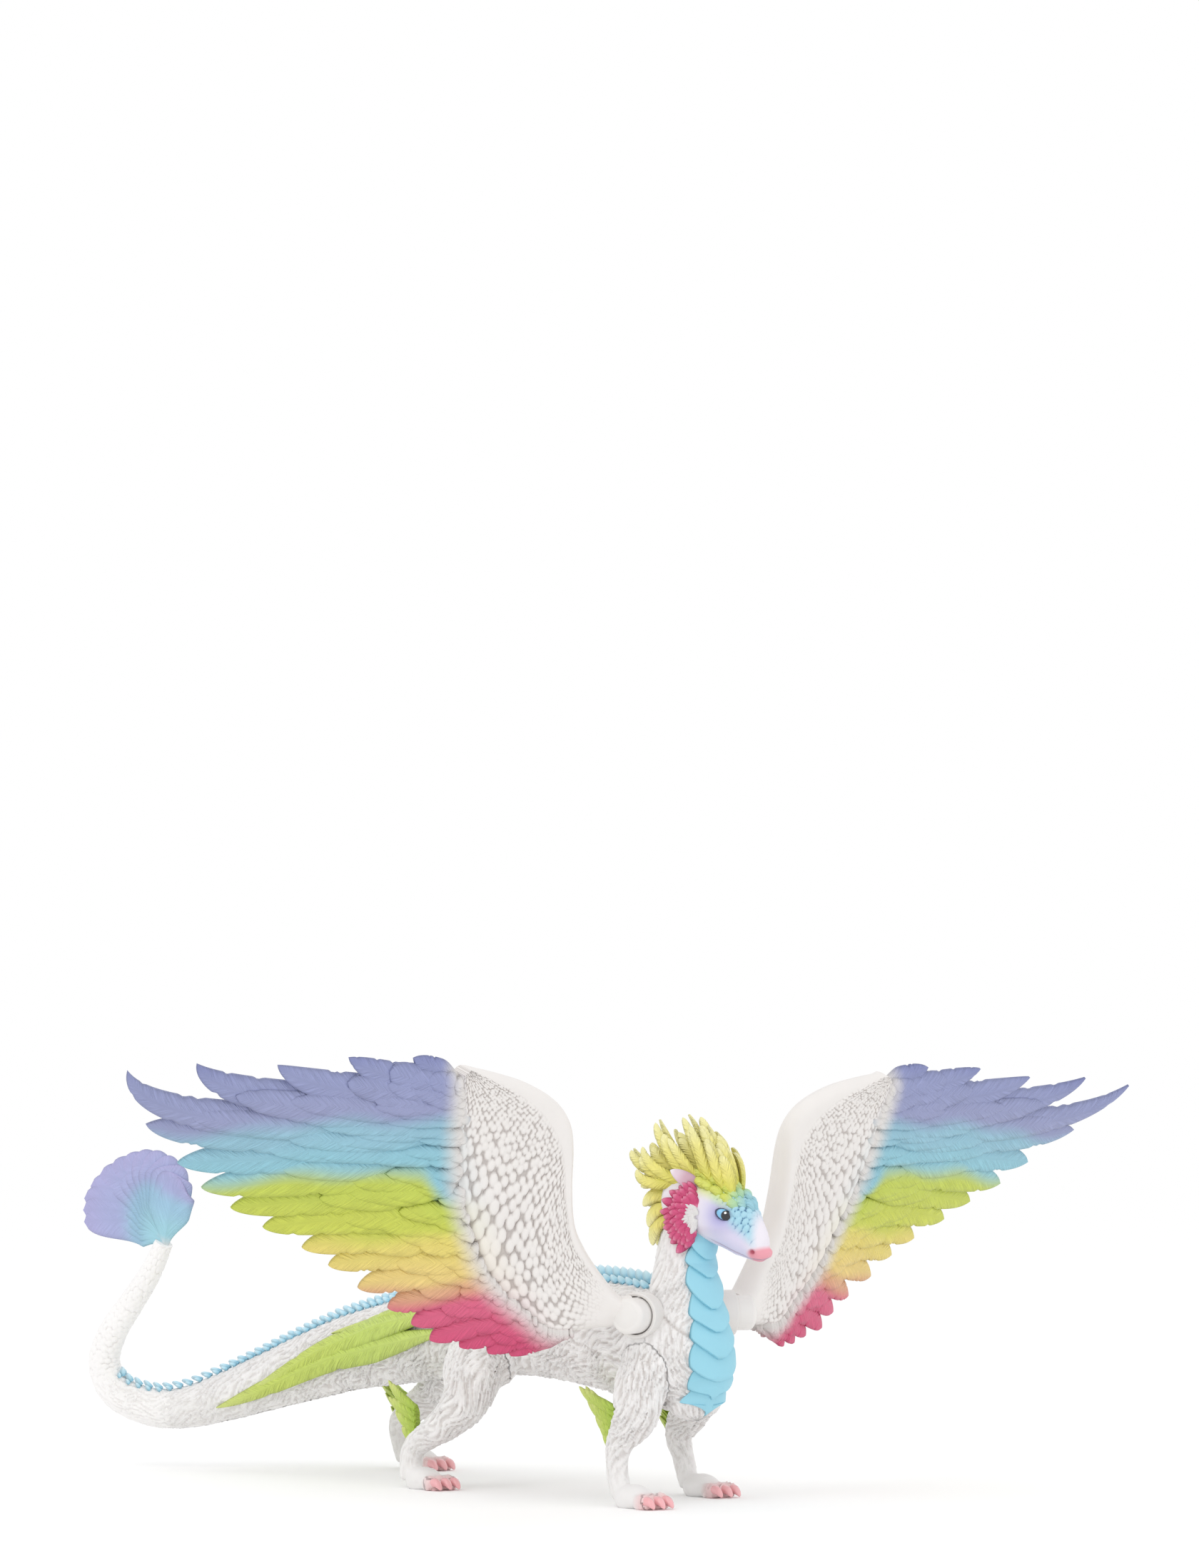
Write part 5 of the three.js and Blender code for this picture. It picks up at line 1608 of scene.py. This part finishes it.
@dataclass
class Plumes:
    """The green plumes on the hips, elbows and hocks, and the lilac tail fan."""

    # first and last station, angles in degrees, half width and lift over the skin in mm of each hip strand
    strands: Sequence[tuple[float, float, Sequence[float], float, float]] = (
        (5.2, 12.2, (0, -4, -5, -6, -10, -20, -27), 3.9, 1.3),
        (5.0, 8.9, (40, 38, 34, 28, 26, 27, 30), 2.9, 1.2),
        (5.2, 11.2, (20, 18, 17, 13, 6, -4, -13), 3.5, 1.9),
    )
    tufts: Sequence[tuple[tuple[float, float, float], float, float]] = (
        ((-6.5, -15.6, 16.5), 15.0, 10.0), ((-26.0, 17.2, 17.5), 11.0, 8.0),
        ((-79.0, -19.2, 13.5), 14.0, 10.0), ((-134.0, 17.2, 14.0), 14.0, 9.0),
    )
    fan_tips: Sequence[tuple[float, float, float]] = (
        (6.0, 2.0, 14.5), (1.5, 0.5, 19.5), (-6.5, -1.5, 21.5), (-14.5, -3.2, 20.5), (-22.5, -5.0, 17.0),
        (-27.5, -6.5, 11.0), (-27.0, -6.8, 5.0),
    )
    petals: int = 13

    def hip(self) -> Patch:
        """Long overlapping strands that lie along the hip and the root of the tail."""
        patches = []
        green = fading(((0.0, "d0e278"), (0.35, "cbe06c"), (0.75, "cfe06a"), (1.0, "d8e484")))
        for side in Side:
            for number, (start, end, angles, width, lift) in enumerate(self.strands):
                rows = 90
                station = np.linspace(start, end, rows)
                angle = np.interp(np.linspace(0, 1, rows), np.linspace(0, 1, len(angles)), angles)
                smooth = np.convolve(np.pad(angle, 8, mode="edge"), np.ones(17) / 17, "valid")
                smooth = smooth if side is Side.RIGHT else 180 - smooth
                line, normal = SPINE.skin(station, smooth, lift * np.linspace(1, 0.35, rows))
                across = unit(np.cross(normal, unit(np.gradient(line, axis=0))))
                across = across * np.sign(across[:, 2].mean())
                vane = Vane(
                    half_width=width, thickness=1.3, rows=rows, columns=15, point=3.0, sharpness=0.85,
                    camber=1.0, nicks=2, shaft_height=0.35, root_width=0.12, barbs=1.8,
                )
                patches.append(feather(vane, line, across, normal, green, number + 5.5 * side.value, 0.35))
        return Patch.joined(patches)

    def leg_tufts(self) -> Patch:
        """Fans of short feathers behind the elbows and hocks, pointing back and up."""
        patches = []
        for index, (root, length, height) in enumerate(self.tufts):
            out = np.array([0.15, math.copysign(1.0, root[1]), 0.1])
            for layer in range(2):
                for k in range(7):
                    share = (k + 0.5 * layer) / 6.5
                    start = np.array(root) + np.array([1.2, 0.0, (share - 0.45) * height * 0.95])
                    start = start + out * (0.35 * layer - 0.3)
                    reach = length * (0.42 + 0.60 * share) * (1 - 0.22 * layer)
                    angle = math.radians(38 - 12 * share + 6 * math.sin(3 * k + index))
                    tip = start + reach * np.array([-math.cos(angle), 0.04 * out[1], math.sin(angle)])
                    flatter = angle - 0.28
                    way = np.array([-math.cos(flatter), 0.06 * out[1], math.sin(flatter)])
                    lean = start + 0.55 * reach * way
                    vane = Vane(
                        half_width=1.7, thickness=0.7, rows=24, columns=9, point=2.8, sharpness=0.65,
                        camber=0.75, nicks=1, root_width=0.7, barbs=2.2,
                    )
                    paint = fading(((0.0, "aecb4a"), (0.45, "c6dc60"), (1.0, "e0ea88")))
                    patches.append(leaf(vane, (start, lean, tip), out, paint, k + 7 * index, 0.9))
        return Patch.joined(patches)

    def tail_fan(self) -> Patch:
        """Broad petals that spread from the tail's end and curl over towards the figure's back."""
        patches = []
        lilac = fading(
            ((0.0, "e6edf0"), (0.12, "a8dbea"), (0.45, "a6cfea"), (0.75, "b0b6e2"), (1.0, "b4b2e0"))
        )
        end = SPINE.centre(np.array(float(SPINE.last)))
        out = np.array([0.80, -0.60, 0.05])
        for k, reach in enumerate(spline(np.array(self.fan_tips), np.linspace(0, 1, self.petals))):
            lean = np.array([0.16 * reach[0] + 2.4, 0.16 * reach[1], 0.62 * reach[2] + 4.2])
            layer = out * (0.12 * (k % 3) - 0.3 + 0.05 * k)
            vane = Vane(
                half_width=5.0, thickness=1.1, rows=46, columns=17, point=8.0, sharpness=0.5, camber=0.5,
                nicks=0, shaft_height=0.3, root_width=0.22, barbs=0.5,
            )
            course = (end + (0, 0, -1.0), end + lean + layer, end + reach + layer)
            patches.append(leaf(vane, course, out, lilac, k, 0.5))
        return Patch.joined(patches)

    def build(self) -> None:
        """Makes the plumes and the fan."""
        add_piece(
            "hip_plumes", self.hip(), FEATHER_PAINT,
            Place("body", "tuft_green", ("hip_plume_right", "hip_plume_left")),
        )
        names = tuple(f"{joint}_tuft_{side.word}" for joint in ("elbow", "hock") for side in Side)
        add_piece("leg_tufts", self.leg_tufts(), FEATHER_PAINT, Place("body", "tuft_green", names))
        add_piece("tail_petals", self.tail_fan(), FEATHER_PAINT, Place("body", "fan_lilac", ("tail_fan",)))


JOINT_WHITE = "eae7e4"


@dataclass
class Swivel:
    """A wing's hub, the collar round it and the bush behind, turned about the wing's own pivot line."""

    side: Side
    hub_radius: float = 4.1
    hub_reach: float = 5.6
    hub_edge: float = 1.3                  # radius of the rounding round the drum's face
    collar_radius: float = 5.3
    collar_bore: float = 4.4
    collar_proud: float = 0.8
    collar_depth: float = 3.4
    bush_radii: tuple[float, float] = (2.2, 3.6)
    bush_run: tuple[float, float] = (-6.8, -3.2)

    def turned(self, profile: Sequence[tuple[float, float]], around: int = 96) -> Array:
        """Turns a profile about the pivot line.

        Args:
            profile: (radius, distance out from the shoulder) in mm, end to end or closed.
            around: points in a ring.

        Returns:
            Points by ring and by place around it.
        """
        axis = np.array(hinge(f"{self.side.word}_wing_swivel")["axis"], float)
        axis = axis * math.copysign(1.0, axis[1] * self.side.value)
        first = unit(np.cross(axis, (0.0, 0.0, 1.0)))
        second = np.cross(axis, first)
        centre = SHOULDER * (1, self.side.value, 1)
        turn = np.linspace(0, TURN, around, endpoint=False)
        circle = first * np.cos(turn)[:, None] + second * np.sin(turn)[:, None]
        sizes = np.array(profile)
        return centre + axis * sizes[:, 1, None, None] + circle[None] * sizes[:, 0, None, None]

    def hub(self) -> Patch:
        """The round drum at the arm's end, with a domed face."""
        r, reach, edge = self.hub_radius, self.hub_reach, self.hub_edge
        bend = np.linspace(0, math.pi / 2, 12)
        dome = [(r - edge + edge * math.cos(a), reach - edge + edge * math.sin(a)) for a in bend]
        base = [(0.05, -2.2), (r - 0.3, -2.2), (r, -1.9), (r, 0.0)]
        face = [(0.6 * r, reach + 0.25), (0.05, reach + 0.32)]
        return tube(self.turned([*base, *dome, *face]), linear(JOINT_WHITE))

    def collar(self) -> Patch:
        """The raised ring that the hub turns in, with a rounded lip."""
        bore, edge, proud, deep = self.collar_bore, self.collar_radius, self.collar_proud, -self.collar_depth
        bend = np.linspace(0, math.pi, 9)
        middle, half = 0.5 * (bore + edge), 0.5 * (edge - bore)
        lip = [(middle + half * math.cos(a), proud - 0.3 + 0.3 * math.sin(a)) for a in bend]
        return self.ring([(edge, deep), (edge, 0.0), *lip, (bore, 0.0), (bore, deep)], "e4e1de")

    def bush(self) -> Patch:
        """The bush that the wing's pin snaps into, deep behind the collar."""
        (bore, edge), (back, front) = self.bush_radii, self.bush_run
        return self.ring([(bore, back), (edge, back), (edge, front), (bore, front)], JOINT_WHITE)

    def ring(self, profile: Sequence[tuple[float, float]], paint: str) -> Patch:
        """Turns a closed profile that stands clear of the pivot line into a ring.

        Args:
            profile: (radius, distance out from the shoulder) in mm.
            paint: its hex colour.

        Returns:
            The closed ring.
        """
        rings = self.turned(profile)
        steps, around = rings.shape[:2]
        here = np.arange(steps * around).reshape(steps, around)
        ahead, beside = np.roll(here, -1, axis=0), np.roll(here, -1, axis=1)
        quads = np.stack([here, beside, np.roll(beside, -1, axis=0), ahead], -1).reshape(-1, 4)
        colours = np.broadcast_to(linear(paint), rings.shape).reshape(-1, 3)
        return Patch(rings.reshape(-1, 3), quads, NO_TRIS, colours).outward()

    def build(self) -> None:
        """Makes the hub, the collar and the bush behind it."""
        word = self.side.word
        for name, patch, body, node in (
            ("pivot_bush", self.bush(), "body", "socket_bush"),
            ("hub_drum", self.hub(), f"wing_{word}", "wing_hub"),
            ("collar_ring", self.collar(), "body", "shoulder_collar"),
        ):
            add_piece(f"{name}_{word}", patch, SMOOTH_PVC, Place(body, "joint_white", (f"{node}_{word}",)))


# ------------------------------------------------------------------ camera, floor and light


@dataclass
class Studio:
    """A pale seamless floor, soft light and a long lens at the figure's right front."""

    camera_place: tuple[float, float, float] = (776.29, -645.31, 79.78)
    camera_right: tuple[float, float, float] = (0.62431, 0.78117, -0.00067)
    camera_up: tuple[float, float, float] = (0.06727, -0.05291, 0.99633)
    lens: float = 99.49
    floor_size: float = 60.0
    backdrop: str = "ffffff"

    @staticmethod
    def aimed(name: str, data: bpy.types.ID, right: Array, up: Array, place: Array) -> bpy.types.Object:
        """Adds a camera or light that looks against the cross of its right and up directions.

        Args:
            name: its name.
            data: the camera or light.
            right: unit vector to its right.
            up: unit vector to its top.
            place: where it stands, in metres in the row frame.

        Returns:
            The new object.
        """
        thing = bpy.data.objects.new(name, data)
        turn = np.eye(4)
        turn[:3, :3] = np.stack([right, up, np.cross(right, up)], 1)
        turn[:3, 3] = place
        thing.matrix_world = Matrix(turn.tolist())
        bpy.context.scene.collection.objects.link(thing)
        return thing

    def set_camera(self) -> None:
        """Makes the camera and gives it to the scene."""
        data = bpy.data.cameras.new("camera")
        data.lens, data.sensor_width, data.sensor_fit = self.lens, 36.0, "AUTO"
        data.clip_start, data.clip_end = 0.01, 100.0
        right, up = np.array(self.camera_right), np.array(self.camera_up)
        place = (np.array(self.camera_place) + ROW_SHIFT) * MM
        bpy.context.scene.camera = self.aimed("camera", data, right, up, place)

    def set_floor(self) -> None:
        """Lays the pale floor."""
        half = self.floor_size / 2
        mesh = bpy.data.meshes.new("floor")
        corners = [(-half, -half, 0), (half, -half, 0), (half, half, 0), (-half, half, 0)]
        mesh.from_pydata(corners, [], [(0, 1, 2, 3)])
        floor = bpy.data.objects.new("floor", mesh)
        material = bpy.data.materials.new("matt white card")
        material.use_nodes = True
        shader = material.node_tree.nodes["Principled BSDF"]
        shader.inputs["Base Color"].default_value = (*linear("ffffff"), 1.0)
        shader.inputs["Roughness"].default_value = 0.9
        shader.inputs["Specular IOR Level"].default_value = 0.0
        mesh.materials.append(material)
        bpy.context.scene.collection.objects.link(floor)

    def add_light(self, name: str, place: tuple, aim: tuple, size: float, power: float) -> None:
        """Hangs one square soft light.

        Args:
            name: its name.
            place: where it hangs, in metres in the row frame.
            aim: the point it faces.
            size: its side in metres.
            power: in watts.
        """
        data = bpy.data.lights.new(name, "AREA")
        data.shape, data.size, data.energy = "SQUARE", size, power
        away = unit(np.array(place) - np.array(aim))
        right = unit(np.cross((0.0, 0.0, 1.0), away))
        self.aimed(name, data, right, np.cross(away, right), np.array(place))

    def set_light(self) -> None:
        """Sets an even white surround, a broad key from the upper left and a weaker fill."""
        scene = bpy.context.scene
        world = bpy.data.worlds.new("white surround")
        world.use_nodes = True
        background = world.node_tree.nodes["Background"]
        background.inputs["Color"].default_value = (*linear(self.backdrop), 1.0)
        background.inputs["Strength"].default_value = 1.0
        scene.world = world
        scene.view_settings.view_transform = "Standard"
        self.add_light("key", (0.35, -0.75, 0.85), (0.0, 0.0, 0.05), 0.5, 1.5)
        self.add_light("fill", (0.9, 0.35, 0.5), (0.0, 0.0, 0.05), 0.6, 0.4)

    def build(self) -> None:
        """Sets up everything around the figure."""
        self.set_camera()
        self.set_floor()
        self.set_light()


def main() -> None:
    """Builds the scene in order."""
    logging.basicConfig(level=logging.INFO, format="%(name)s: %(message)s")
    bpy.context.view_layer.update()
    Studio().build()
    FurBody().build()
    Head().build()
    Plates().build()
    Plumes().build()
    for side in Side:
        Wing(side).build()
        Swivel(side).build()


if __name__ == "__main__":
    main()
